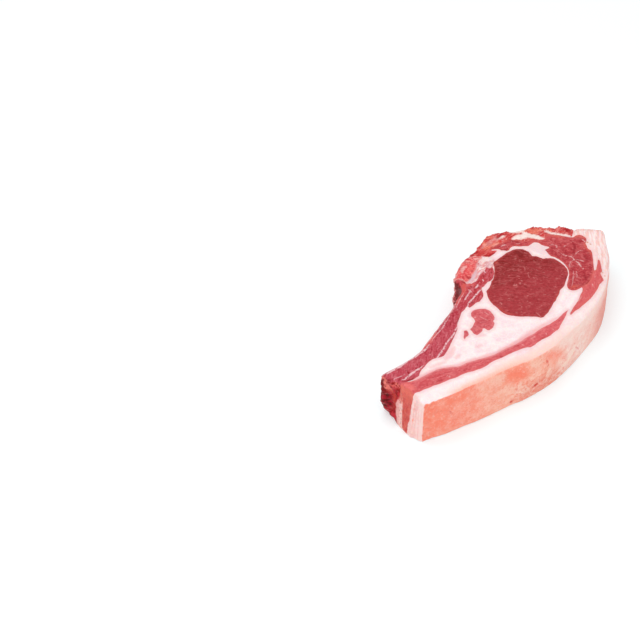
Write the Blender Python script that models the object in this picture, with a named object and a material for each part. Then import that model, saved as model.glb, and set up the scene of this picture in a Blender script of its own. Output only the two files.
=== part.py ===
# A raw mutton rib chop, cut thick and laid on its broad sawn face.
# +Z is up through the thickness, +X runs from the thin tip to the thick loin end,
# -Y is the fat-covered outer side and +Y the rib side. Lengths are in metres.

import bmesh
import bpy
from mathutils import Matrix, Vector

MM = 0.001

# Driving dimensions
THICKNESS = 28 * MM        # of the fat, from the board to the upper cut face
LEAN_RISE = 0.4 * MM       # the lean stands this much above the fat on the upper face
ROUND_OVER = 1.3 * MM      # softened edge between the cut faces and the outer walls
GAP = 0.3 * MM             # clearance between pieces that touch
RIB_WIDTH = 7.0 * MM       # of the rib, across the chop
RIB_DEPTH = 14.0 * MM      # of the rib, through the thickness
RIB_HEIGHT = 10.5 * MM     # of the rib's middle line above the board
REACH = 5 * MM             # how far cutters run past what they cut
FINE, COARSE = 4, 3        # steps between two points of an outline

SHARP = True               # marks a corner in an outline

# Outlines, seen from above, in millimetres: x, y and, at a corner, SHARP.

FAT_SIDE = [
    (73.6, -16.0), (61.8, -24.6), (42.0, -33.0), (22.9, -35.5), (4.9, -34.3),
    (-14.2, -31.1), (-39.1, -20.4), (-63.9, -10.2),
]
SAWN_END = [(-79.0, -3.3, SHARP), (-76.6, 5.2), (-77.3, 14.0), (-74.4, 25.0, SHARP)]
RIB_SIDE = [(-64.1, 21.2), (-51.1, 18.2), (-31.5, 18.8), (-8.9, 22.4), (-2.2, 24.6)]
CHINE_SIDE = [(3.5, 31.4, SHARP), (10.0, 34.0), (17.6, 35.4), (24.0, 34.2)]
BACK_EDGE = [
    (39.8, 35.4, SHARP), (46.3, 31.0), (53.5, 24.0), (61.5, 20.0, SHARP), (65.4, 11.9),
    (70.2, 5.4), (70.4, 1.4), (79.0, -11.4, SHARP),
]
WHOLE = FAT_SIDE + SAWN_END + RIB_SIDE + CHINE_SIDE + BACK_EDGE

EYE = [
    (25.0, 21.6, SHARP), (31.5, 20.8), (37.0, 19.6), (41.5, 14.5), (41.0, 8.3), (43.0, 0.5),
    (42.3, -6.0), (37.0, -15.0), (29.0, -17.9), (14.4, -19.7), (4.0, -18.6), (-3.2, -5.0),
    (-2.6, 4.0), (3.4, 12.3), (11.5, 15.0),
]
CAP = [
    (32.0, 28.3, SHARP), (44.0, 23.6), (50.4, 13.6), (55.1, 9.4), (58.0, 9.2), (62.0, 3.4),
    (64.7, -3.5), (68.5, -8.0, SHARP), (61.0, -15.6), (51.3, -22.4), (41.0, -24.3),
    (35.0, -24.2), (30.2, -20.8, SHARP), (32.8, -14.5), (38.0, -9.5), (41.0, -3.0),
    (45.0, 1.6), (46.6, 4.6, SHARP), (49.2, 4.0), (51.6, 4.4), (51.2, 8.8), (48.4, 13.6),
    (43.6, 17.8), (36.8, 23.3),
]
SIDE_STRIP = [
    (57.6, -21.6, SHARP), (50.8, -27.0), (42.4, -30.4), (32.3, -31.4), (21.9, -30.4),
    (13.1, -30.2, SHARP), (23.6, -27.8), (33.9, -25.6), (42.0, -22.0), (50.0, -20.5),
]
# The long streak of lean along the flank: x, y and width at stations down its middle
FLANK = [
    (16.4, -26.9, 0.8), (10.0, -27.2, 2.6), (3.0, -26.6, 5.0), (-10.7, -22.9, 6.6),
    (-25.0, -17.6, 4.2), (-38.2, -10.5, 5.7), (-52.0, -3.0, 8.2), (-64.0, 3.9, 8.4),
    (-80.0, 9.6, 6.2),
]
INNER_A = [
    (-13.7, 11.8), (-9.2, 11.0), (-7.0, 6.2), (-9.6, 0.4), (-14.4, -2.0), (-19.0, 0.2),
    (-18.6, 6.2),
]
INNER_B = [(-24.0, 5.0), (-20.0, 5.6), (-17.6, 3.2), (-20.3, 0.4), (-24.2, 1.6)]
INNER_C = [(-26.2, 7.8), (-26.6, 5.4), (-30.4, 5.2), (-29.4, 7.4)]
RIB_MEAT = [
    (-84.0, 12.4), (-74.1, 14.3), (-60.2, 12.3), (-48.6, 9.0), (-43.4, 9.0), (-33.4, 10.6),
    (-22.2, 14.1), (-13.8, 16.8), (-9.0, 14.8), (-3.2, 13.6), (3.4, 16.8), (12.0, 17.8),
    (18.6, 19.6, SHARP), (19.6, 25.0), (19.0, 32.0), (0.0, 40.0, SHARP), (-84.0, 40.0, SHARP),
]
CHINE_BONE = [
    (-2.0, 31.4, SHARP), (6.4, 25.7), (13.5, 26.0), (20.0, 28.8), (23.4, 31.8, SHARP),
    (24.6, 42.0, SHARP), (-2.0, 42.0, SHARP),
]
CARTILAGE = [
    (16.8, 18.9), (21.0, 19.9), (24.4, 23.2), (26.3, 27.8), (23.6, 30.4), (18.4, 29.4),
    (16.4, 24.0),
]
BACK_TRIM = [
    (29.7, 31.9, SHARP), (34.7, 30.2), (41.0, 27.9), (46.3, 24.6), (50.0, 19.4),
    (54.0, 14.2), (59.6, 10.8), (64.2, 5.4), (66.4, -0.6, SHARP), (82.0, 4.0, SHARP),
    (66.0, 44.0, SHARP), (29.0, 44.0, SHARP),
]
# The rib's middle line, from the sawn end to where it meets the backbone
RIB_LINE = [
    (-76.0, 20.7), (-64.0, 18.6), (-46.0, 16.2), (-26.0, 17.2), (-9.0, 19.9), (1.0, 24.2),
    (9.0, 29.0),
]

# Colours in sRGB, and roughness
LOIN_RED = ((0.64, 0.23, 0.25), 0.35)
PALE_RED = ((0.77, 0.34, 0.36), 0.35)
STREAK_RED = ((0.85, 0.44, 0.47), 0.38)
DARK_RED = ((0.72, 0.30, 0.34), 0.36)
CREAM_FAT = ((0.97, 0.89, 0.87), 0.45)
MARROW_RED = ((0.86, 0.44, 0.42), 0.5)
BONE_PINK = ((0.84, 0.66, 0.63), 0.45)
GRISTLE = ((0.92, 0.82, 0.81), 0.4)
TRIM_ORANGE = ((0.88, 0.50, 0.47), 0.45)


# Small helpers

def linear(srgb):
    return [((c + 0.055) / 1.055) ** 2.4 if c > 0.04045 else c / 12.92 for c in srgb]


def clockwise(points):
    """The same outline, turned so that an offset always grows it."""
    twice_area = 0.0
    for (x0, y0, *_), (x1, y1, *_) in zip(points, points[1:] + points[:1]):
        twice_area += x0 * y1 - x1 * y0
    return points[::-1] if twice_area > 0 else points


def ribbon(stations):
    """The outline of a streak from its middle line and its widths."""
    left, right = [], []
    for i, (x, y, width) in enumerate(stations):
        before, after = stations[max(i - 1, 0)], stations[min(i + 1, len(stations) - 1)]
        along = Vector((after[0] - before[0], after[1] - before[1])).normalized()
        side = Vector((-along.y, along.x)) * width / 2
        left.append((x + side.x, y + side.y))
        right.append((x - side.x, y - side.y))
    return left + right[::-1]


def curve_to_mesh(curve, name):
    """A closed mesh from a curve, with its loose caps welded on."""
    holder = bpy.data.objects.new(name, curve)
    bpy.context.scene.collection.objects.link(holder)
    evaluated = holder.evaluated_get(bpy.context.evaluated_depsgraph_get())
    mesh = bpy.data.meshes.new_from_object(evaluated)
    bpy.data.objects.remove(holder)
    bm = bmesh.new()
    bm.from_mesh(mesh)
    bmesh.ops.remove_doubles(bm, verts=bm.verts, dist=0.02 * MM)
    bmesh.ops.recalc_face_normals(bm, faces=bm.faces)
    bm.to_mesh(mesh)
    bm.free()
    mesh.materials.clear()
    mesh.name = name
    return mesh


def slab(name, outline, bottom, top, steps=FINE, round_over=0.0, grow=0.0):
    """A flat piece with a smooth outline, standing between two heights."""
    points = clockwise(outline)
    curve = bpy.data.curves.new(name, "CURVE")
    curve.dimensions = "2D"
    curve.fill_mode = "BOTH"
    curve.resolution_u = steps
    curve.extrude = (top - bottom) / 2 - round_over
    curve.bevel_depth = round_over
    curve.bevel_resolution = 1
    curve.offset = grow - round_over
    spline = curve.splines.new("BEZIER")
    spline.bezier_points.add(len(points) - 1)
    for knot, (x, y, *corner) in zip(spline.bezier_points, points):
        knot.co = (x * MM, y * MM, 0)
        kind = "VECTOR" if corner else "AUTO"
        knot.handle_left_type = knot.handle_right_type = kind
    spline.use_cyclic_u = True
    mesh = curve_to_mesh(curve, name)
    mesh.transform(Matrix.Translation((0, 0, (top + bottom) / 2)))
    return mesh


def rib_bar(name, line, grow=0.0):
    """A round tube along the rib, stretched upwards into a flat bar."""
    stretch = RIB_DEPTH / RIB_WIDTH
    curve = bpy.data.curves.new(name, "CURVE")
    curve.dimensions = "3D"
    curve.resolution_u = COARSE
    curve.bevel_depth = RIB_WIDTH / 2 + grow
    curve.bevel_resolution = 2
    curve.use_fill_caps = True
    spline = curve.splines.new("BEZIER")
    spline.bezier_points.add(len(line) - 1)
    for knot, (x, y) in zip(spline.bezier_points, line):
        knot.co = (x * MM, y * MM, RIB_HEIGHT / stretch)
        knot.handle_left_type = knot.handle_right_type = "AUTO"
    mesh = curve_to_mesh(curve, name)
    mesh.transform(Matrix.Diagonal((1, 1, stretch, 1)))
    return mesh


def finish(name, srgb, roughness):
    material = bpy.data.materials.new(name)
    material.use_nodes = True
    surface = material.node_tree.nodes["Principled BSDF"]
    surface.inputs["Base Color"].default_value = (*linear(srgb), 1)
    surface.inputs["Roughness"].default_value = roughness
    surface.inputs["Metallic"].default_value = 0.0
    return material


def add_piece(name, mesh, colour):
    mesh.materials.append(finish(name, *colour))
    piece = bpy.data.objects.new(name, mesh)
    chop.objects.link(piece)
    return piece


def add_cutter(name, mesh):
    cutter = bpy.data.objects.new(name, mesh)
    cutter.hide_render = True
    cutter.display_type = "WIRE"
    cutters.objects.link(cutter)
    return cutter


def cut(piece, tool, operation="DIFFERENCE"):
    boolean = piece.modifiers.new(f"{operation.lower()} {tool.name}", "BOOLEAN")
    boolean.operation = operation
    boolean.solver = "EXACT"
    boolean.object = tool


def add_cell(name, outline, colour, steps=FINE, neighbours=()):
    """A muscle or bone that runs through the chop, and the cutter that makes room for it."""
    prism = slab(name, outline, -REACH, THICKNESS + REACH, steps)
    piece = add_piece(name, prism, colour)
    cut(piece, lean_form, "INTERSECT")
    for neighbour in neighbours:
        cut(piece, room_for[neighbour])
    room = slab(f"{name}_room", outline, -REACH, THICKNESS + REACH, steps, grow=GAP)
    room_for[name] = add_cutter(f"{name}_room", room)


# The chop

for old in list(bpy.data.objects):
    bpy.data.objects.remove(old)

chop = bpy.data.collections.new("mutton_rib_chop")
cutters = bpy.data.collections.new("cutters")
bpy.context.scene.collection.children.link(chop)
bpy.context.scene.collection.children.link(cutters)
room_for = {}

# The lean and the bones are cut out of a form that stands a little above the fat
lean_mesh = slab("lean_form", WHOLE, 0, THICKNESS + LEAN_RISE, round_over=ROUND_OVER)
lean_form = add_cutter("lean_form", lean_mesh)

# The rib runs past the rib side, and its cutter past the sawn end
add_piece("rib_bone", rib_bar("rib_bone", RIB_LINE), BONE_PINK)
long_line = [(-84.0, 22.6)] + RIB_LINE
room_for["rib_bone"] = add_cutter("rib_bone_room", rib_bar("rib_bone_room", long_line, GAP))

add_cell("chine_bone", CHINE_BONE, MARROW_RED)
add_cell("eye_muscle", EYE, LOIN_RED)
add_cell("chine_cartilage", CARTILAGE, GRISTLE, COARSE, ["chine_bone"])
add_cell("cap_muscle", CAP, PALE_RED, FINE, ["eye_muscle"])
add_cell("back_trim", BACK_TRIM, TRIM_ORANGE, COARSE)
near_rib = ["rib_bone", "chine_bone", "chine_cartilage"]
add_cell("rib_muscle", RIB_MEAT, DARK_RED, COARSE, near_rib)
add_cell("flank_muscle", ribbon(FLANK), STREAK_RED)
add_cell("side_muscle", SIDE_STRIP, STREAK_RED, COARSE, ["cap_muscle"])
add_cell("inner_muscle_a", INNER_A, STREAK_RED)
add_cell("inner_muscle_b", INNER_B, STREAK_RED, COARSE, ["inner_muscle_a"])
add_cell("inner_muscle_c", INNER_C, STREAK_RED, COARSE)

# The rib ends against the backbone
cut(chop.objects["rib_bone"], room_for["chine_bone"])

# The fat is all that is left of the whole form, in one piece
fat = add_piece("fat", slab("fat", WHOLE, 0, THICKNESS, round_over=ROUND_OVER), CREAM_FAT)
for name in room_for:
    cut(fat, room_for[name])

# The origin goes under the middle of the chop
corners = [Vector(corner) for corner in lean_form.bound_box]
middle = sum(corners, Vector()) / len(corners)
to_origin = Matrix.Translation((-middle.x, -middle.y, 0))
for thing in list(chop.objects) + list(cutters.objects):
    thing.data.transform(to_origin)
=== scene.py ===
import math

import bmesh
import bpy
from mathutils import Matrix, Vector, kdtree, noise
from mathutils.bvhtree import BVHTree


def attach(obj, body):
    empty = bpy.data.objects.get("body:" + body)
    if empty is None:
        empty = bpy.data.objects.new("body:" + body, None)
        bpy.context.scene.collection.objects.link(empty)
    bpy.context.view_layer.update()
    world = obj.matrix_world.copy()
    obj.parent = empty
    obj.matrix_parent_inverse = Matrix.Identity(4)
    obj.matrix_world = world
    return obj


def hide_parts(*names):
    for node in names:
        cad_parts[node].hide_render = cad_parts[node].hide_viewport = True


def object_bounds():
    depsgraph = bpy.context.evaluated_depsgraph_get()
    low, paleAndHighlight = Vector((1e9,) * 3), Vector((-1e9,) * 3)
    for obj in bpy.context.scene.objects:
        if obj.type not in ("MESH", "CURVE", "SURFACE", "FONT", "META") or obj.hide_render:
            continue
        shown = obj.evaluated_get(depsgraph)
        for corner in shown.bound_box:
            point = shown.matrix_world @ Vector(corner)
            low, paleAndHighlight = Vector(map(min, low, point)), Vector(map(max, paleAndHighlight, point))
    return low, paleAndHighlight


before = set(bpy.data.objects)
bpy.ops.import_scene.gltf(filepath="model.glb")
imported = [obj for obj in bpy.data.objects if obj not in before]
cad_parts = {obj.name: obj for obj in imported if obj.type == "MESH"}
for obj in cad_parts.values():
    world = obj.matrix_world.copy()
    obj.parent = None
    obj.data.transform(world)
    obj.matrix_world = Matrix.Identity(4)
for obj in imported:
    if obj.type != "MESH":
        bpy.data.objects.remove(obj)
cadLow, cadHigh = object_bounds()
mm = 0.001
noiseSeed = 1  # without one the noise would start from the clock
noise.seed_set(noiseSeed)
print("frame loaded,", len(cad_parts), "parts")


# mesh helpers

def clamp(value, low=0.0, paleAndHighlight=1.0):
    return max(low, min(paleAndHighlight, value))


def ease(value, start, stop):  # 0 before start, 1 after stop, smooth between
    t = clamp((value - start) / (stop - start))
    return t * t * (3 - 2 * t)


def rise(value, span):  # 0 before a span in millimetres, 1 after it
    return ease(value, span[0] * mm, span[1] * mm)


def fall(value, span):  # 1 before the span, 0 after it
    return ease(-value, -span[1] * mm, -span[0] * mm)


def cadCopy(nodeName, swell=0.0):  # a merged copy of a part, grown a little
    bm = bmesh.new()
    bm.from_mesh(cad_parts[nodeName].data)
    bmesh.ops.remove_doubles(bm, verts=bm.verts, dist=0.01 * mm)
    bm.normal_update()
    for vert in bm.verts:
        vert.co += vert.normal * swell
    return bm


def newObject(name, bm):
    mesh = bpy.data.meshes.new(name)
    bm.to_mesh(mesh)
    bm.free()
    made = bpy.data.objects.new(name, mesh)
    bpy.context.scene.collection.objects.link(made)
    return made


def addModifier(target, kind, **settings):
    modifier = target.modifiers.new(kind.lower(), kind)
    for key, value in settings.items():
        setattr(modifier, key, value)
    return modifier


def applyAll(target):  # turns the modifiers into plain mesh
    bpy.context.view_layer.update()
    evaluated = target.evaluated_get(bpy.context.evaluated_depsgraph_get())
    old, target.data = target.data, bpy.data.meshes.new_from_object(evaluated)
    target.modifiers.clear()
    bpy.data.meshes.remove(old)


def drop(target):
    mesh = target.data
    bpy.data.objects.remove(target)
    bpy.data.meshes.remove(mesh)


def joined(name, forms):  # several bmeshes as one object
    together = bmesh.new()
    for form in forms:
        mesh = bpy.data.meshes.new(name)
        form.to_mesh(mesh)
        form.free()
        together.from_mesh(mesh)
        bpy.data.meshes.remove(mesh)
    return newObject(name, together)


def treeOf(places):
    tree = kdtree.KDTree(len(places))
    for index, place in enumerate(places):
        tree.insert(place, index)
    tree.balance()
    return tree


# the whole chop as one skin, before it is divided

wholeLook = {
    "swell": 0.25 * mm,       # closes the joints between the parts
    "grid": 0.50 * mm,        # size of the mesh's faces
    "smoothing": 2,
    "slack": 0.7 * mm,        # how far the skin may stand past the parts' box at its sides
    "lift": 0.4 * mm,         # and above the cut face
    "knee": 1.2 * mm,         # how softly it stops there
    "upright": 0.35,          # a side face's normal has less height than this
    "sideways": 0.3,          # and more depth than this
}
spreadLook = {  # how far the sides stand out beyond the parts, and where, in millimetres
    "fatBottom": 1.5, "fatTop": 0.5, "fatFrom": (-64, -42), "fatTo": (76, 82), "fatBelow": 4,
    "rib": 0.5, "ribTo": (-12, -2), "ribMiddle": 0.9, "middleFrom": (-50, -43),
    "middleTo": (-27, -16), "width": 6,
}
wornLook = {  # the fat side's top edge is worn down towards the thick end, in millimetres
    "depth": 2.2, "width": 7, "along": (0, 45), "across": (-16, 2), "lessFrom": (60, 74), "less": 0.7,
}


def smoothed(bm, times):
    for _ in range(times):
        bmesh.ops.smooth_vert(bm, verts=bm.verts, factor=0.5, use_axis_x=True, use_axis_y=True,
                              use_axis_z=True)


def buildWhole():
    whole = joined("whole", [cadCopy(nodeName, wholeLook["swell"]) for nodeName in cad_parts])
    addModifier(whole, "REMESH", mode="VOXEL", voxel_size=wholeLook["grid"])
    applyAll(whole)
    bm = bmesh.new()
    bm.from_mesh(whole.data)
    smoothed(bm, wholeLook["smoothing"])
    bm.to_mesh(whole.data)
    bm.free()
    return whole


def flat(place):
    return Vector((place.x, place.y, 0))


def spread(p, fatSide):  # how far a place on the side is moved out
    look = spreadLook
    if fatSide:
        amount = look["fatBottom"] + (look["fatTop"] - look["fatBottom"]) * clamp(p.z / cadHigh.z)
        return amount * mm * rise(p.x, look["fatFrom"]) * fall(p.x, look["fatTo"])
    middle = rise(p.x, look["middleFrom"]) * fall(p.x, look["middleTo"])
    return (look["rib"] + look["ribMiddle"] * middle) * mm * fall(p.x, look["ribTo"])


def shapeSides(whole):
    vertices = whole.data.vertices
    sides = {True: [], False: []}
    for vert in vertices:
        if abs(vert.normal.z) < wholeLook["upright"] and abs(vert.normal.y) > wholeLook["sideways"]:
            sides[vert.normal.y < 0].append(vert.index)
    trees = {key: treeOf([flat(vertices[index].co) for index in kept]) for key, kept in sides.items()}
    depth, width = wornLook["depth"] * mm, wornLook["width"] * mm
    moved = []
    for vert in vertices:
        p = vert.co.copy()
        fatSide = p.y < spreadLook["fatBelow"] * mm or p.x > 0
        out = spread(p, fatSide)
        away, index = math.inf, 0
        if out > 0:
            found = trees[fatSide].find(flat(p))
            away, index = found[2], sides[fatSide][found[1]]
        if away < width:
            outward = flat(vertices[index].normal).normalized()
            place = p + outward * out * (1 - ease(away, 0, spreadLook["width"] * mm))
            worn = rise(p.x, wornLook["along"]) * fall(p.y, wornLook["across"])
            worn *= 1 - wornLook["less"] * rise(p.x, wornLook["lessFrom"])
            place.z *= 1 - worn * (1 - ease(away, -0.5 * width, width)) * depth / cadHigh.z
            p = place
        moved.append(p)
    for vert, place in zip(vertices, moved):
        vert.co = place


# relief, region by region

reliefLook = {  # depth, size of the lumps, how far it stands out on average
    "cutFace": (0.22 * mm, 13 * mm, -0.15),
    "fatSide": (0.35 * mm, 12 * mm, -0.1),
    "ribSide": (0.55 * mm, 7 * mm, -0.1),
    "sawnEnd": (0.55 * mm, 2.4 * mm, -0.1),
    "chine": (1.0 * mm, 2.6 * mm, 0.3),
    "backTrim": (0.8 * mm, 3.4 * mm, 0.25),
    "lowTrim": (1.9 * mm, 9 * mm, -1.0),
    "backFat": (0.4 * mm, 6 * mm, 4.2),
}
regionLook = {  # where each region begins and ends: turns of the normal, or millimetres
    "sideOn": (0.25, 0.8), "sawnEnd": (70, 76), "nearPart": (0.2, 2.5), "onTop": 0.25,
    "fatFacing": (0.1, 0.5), "ribFacing": (0.0, 0.4), "ribTo": (10, 20), "lowTrim": (51, 57),
    "backFat": (60, 66), "backFatAcross": (-18, -2),
}
shredLook = {"depth": 0.8 * mm, "turn": -20, "size": (6.5 * mm, 1.3 * mm, 1.8 * mm)}
endLook = {  # the sawn end: how far it lies back at each place across, in millimetres
    "top": [(-4, 0.2), (5, 0.9), (9, 2.2), (14, 3.6), (19, 1.8), (25, 0.4)],
    "bottom": [(-4, 0.8), (0, -0.6), (4, -2.2), (8, -1.2), (12, 0.8), (17, 3.4), (25, 6.4)],
    "from": (60, 75), "corner": (14, 24), "cornerPower": 5,
    "hollow": 2.0, "hollowFrom": (15, 18.5), "hollowTo": (20, 24),
    "hollowUp": (0.08, 0.35), "hollowDown": (0.05, 0.4),
    "rough": 0.6, "roughFrom": (12, 16), "roughSize": 3.2,
    "nip": 1.3, "nipFrom": (64, 79), "nipTo": (0, 6),  # how far the fat's corner is drawn in
}


def lumps(place, size, octaves=3):
    return noise.fractal(place / size, 0.8, 2.1, octaves)


def softLimit(value, low, paleAndHighlight):  # keeps the skin inside the parts' box
    knee = wholeLook["knee"]
    if value > paleAndHighlight - knee:
        return paleAndHighlight - knee + knee * math.tanh((value - paleAndHighlight + knee) / knee)
    if value < low + knee:
        return low + knee - knee * math.tanh((low + knee - value) / knee)
    return value


def shreds(place):  # strings that run along the back
    turned = Matrix.Rotation(math.radians(-shredLook["turn"]), 3, "Z") @ place
    return noise.fractal(Vector([a / b for a, b in zip(turned, shredLook["size"])]), 0.7, 2.1, 3)


def reading(table, at):  # a value from a table, straight between its rows
    for (low, first), (paleAndHighlight, second) in zip(table, table[1:]):
        if at < paleAndHighlight:
            return first + (second - first) * clamp((at - low) / (paleAndHighlight - low))
    return table[-1][1]


def endShift(p):
    look = endLook
    height = clamp(p.z / cadHigh.z)
    lower, upper = (reading(look[name], p.y / mm) for name in ("bottom", "top"))
    down = (1 - height) ** (1 + look["cornerPower"] * rise(p.y, look["corner"]))
    inner = rise(p.y, look["hollowFrom"]) * fall(p.y, look["hollowTo"])
    torn = inner * look["hollow"] * ease(height, *look["hollowUp"]) * ease(1 - height, *look["hollowDown"])
    torn += look["rough"] * lumps(p, look["roughSize"] * mm, 2) * rise(p.y, look["roughFrom"])
    near = rise(-p.x, look["from"])
    nip = look["nip"] * mm * rise(-p.x, look["nipFrom"]) * fall(p.y, look["nipTo"])
    return Vector(((upper + (lower - upper) * down + torn) * mm * near, nip, 0))


def regionWeights(p, normal, near):  # how much each region's relief counts at a place
    look = regionLook
    sideOn = ease(1 - abs(normal.z), *look["sideOn"])
    end = rise(-p.x, look["sawnEnd"]) * sideOn
    weights = {"cutFace": 1 - sideOn, "sawnEnd": end}
    for region, tree in near.items():
        weight = 1 - rise(tree.find_nearest(p)[3], look["nearPart"])
        weights[region] = weight * (look["onTop"] + (1 - look["onTop"]) * sideOn)
    rest = sideOn * (1 - end)
    weights["fatSide"] = rest * ease(-normal.y, *look["fatFacing"])
    weights["ribSide"] = rest * ease(normal.y, *look["ribFacing"]) * fall(p.x, look["ribTo"])
    weights["lowTrim"] = weights["backTrim"] * rise(p.x, look["lowTrim"])
    weights["backFat"] = sideOn * rise(p.x, look["backFat"]) * rise(p.y, look["backFatAcross"])
    return weights


def reliefOf(whole):
    partOf = {"chine": "chine_bone", "backTrim": "back_trim"}
    near = {region: BVHTree.FromBMesh(cadCopy(nodeName)) for region, nodeName in partOf.items()}
    moved = []
    for vert in whole.data.vertices:
        p, normal = vert.co, vert.normal
        weights = regionWeights(p, normal, near)
        shift = shredLook["depth"] * shreds(p) * weights["backTrim"]
        for index, (region, weight) in enumerate(weights.items()):
            if weight > 0.01:
                depth, size, bias = reliefLook[region]
                apart = Vector((0.1 * index, 0, 0))  # so that no two regions share their lumps
                shift += weight * depth * (lumps(p + apart, size) + bias)
        moved.append(p + normal * shift + endShift(p))
    slack = wholeLook["slack"]
    for vert, place in zip(whole.data.vertices, moved):
        vert.co = (softLimit(place.x, cadLow.x, cadHigh.x + slack),
                   softLimit(place.y, cadLow.y - slack, cadHigh.y),
                   clamp(place.z, 0.0, cadHigh.z + wholeLook["lift"]))


# the muscles, bones and gristle, each cut out of the skin along its own seam

cellLook = {
    "grid": 0.36 * mm,
    "flatten": 0.14,           # the height is squeezed while the seam is remeshed
    "smoothing": 2,
    "reach": 5 * mm,           # how far a cell runs out past the skin
    "bare": 2.9 * mm,          # the rib lies bare where the skin is this near
    "crumb": 40,               # a loose bit with fewer vertices than this is left out
}
wanderLook = {  # how far the seams wander, and the size of their bends
    "fine": (0.22 * mm, 2.6 * mm), "slow": (0.33 * mm, 15.6 * mm), "deep": (1.4 * mm, 9 * mm),
}
flankLook = {  # how the flank narrows at the sawn end, in millimetres
    "from": (68, 75),
    "inner": [(0, 8.4), (5, 10.2), (12, 10.7), (19, 10.9), (24, 12.2)],  # its inner border, by height
    "pinch": 0.92, "pinchTo": (23.5, 26.5), "outer": 8, "taper": 0.9,
}

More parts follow.
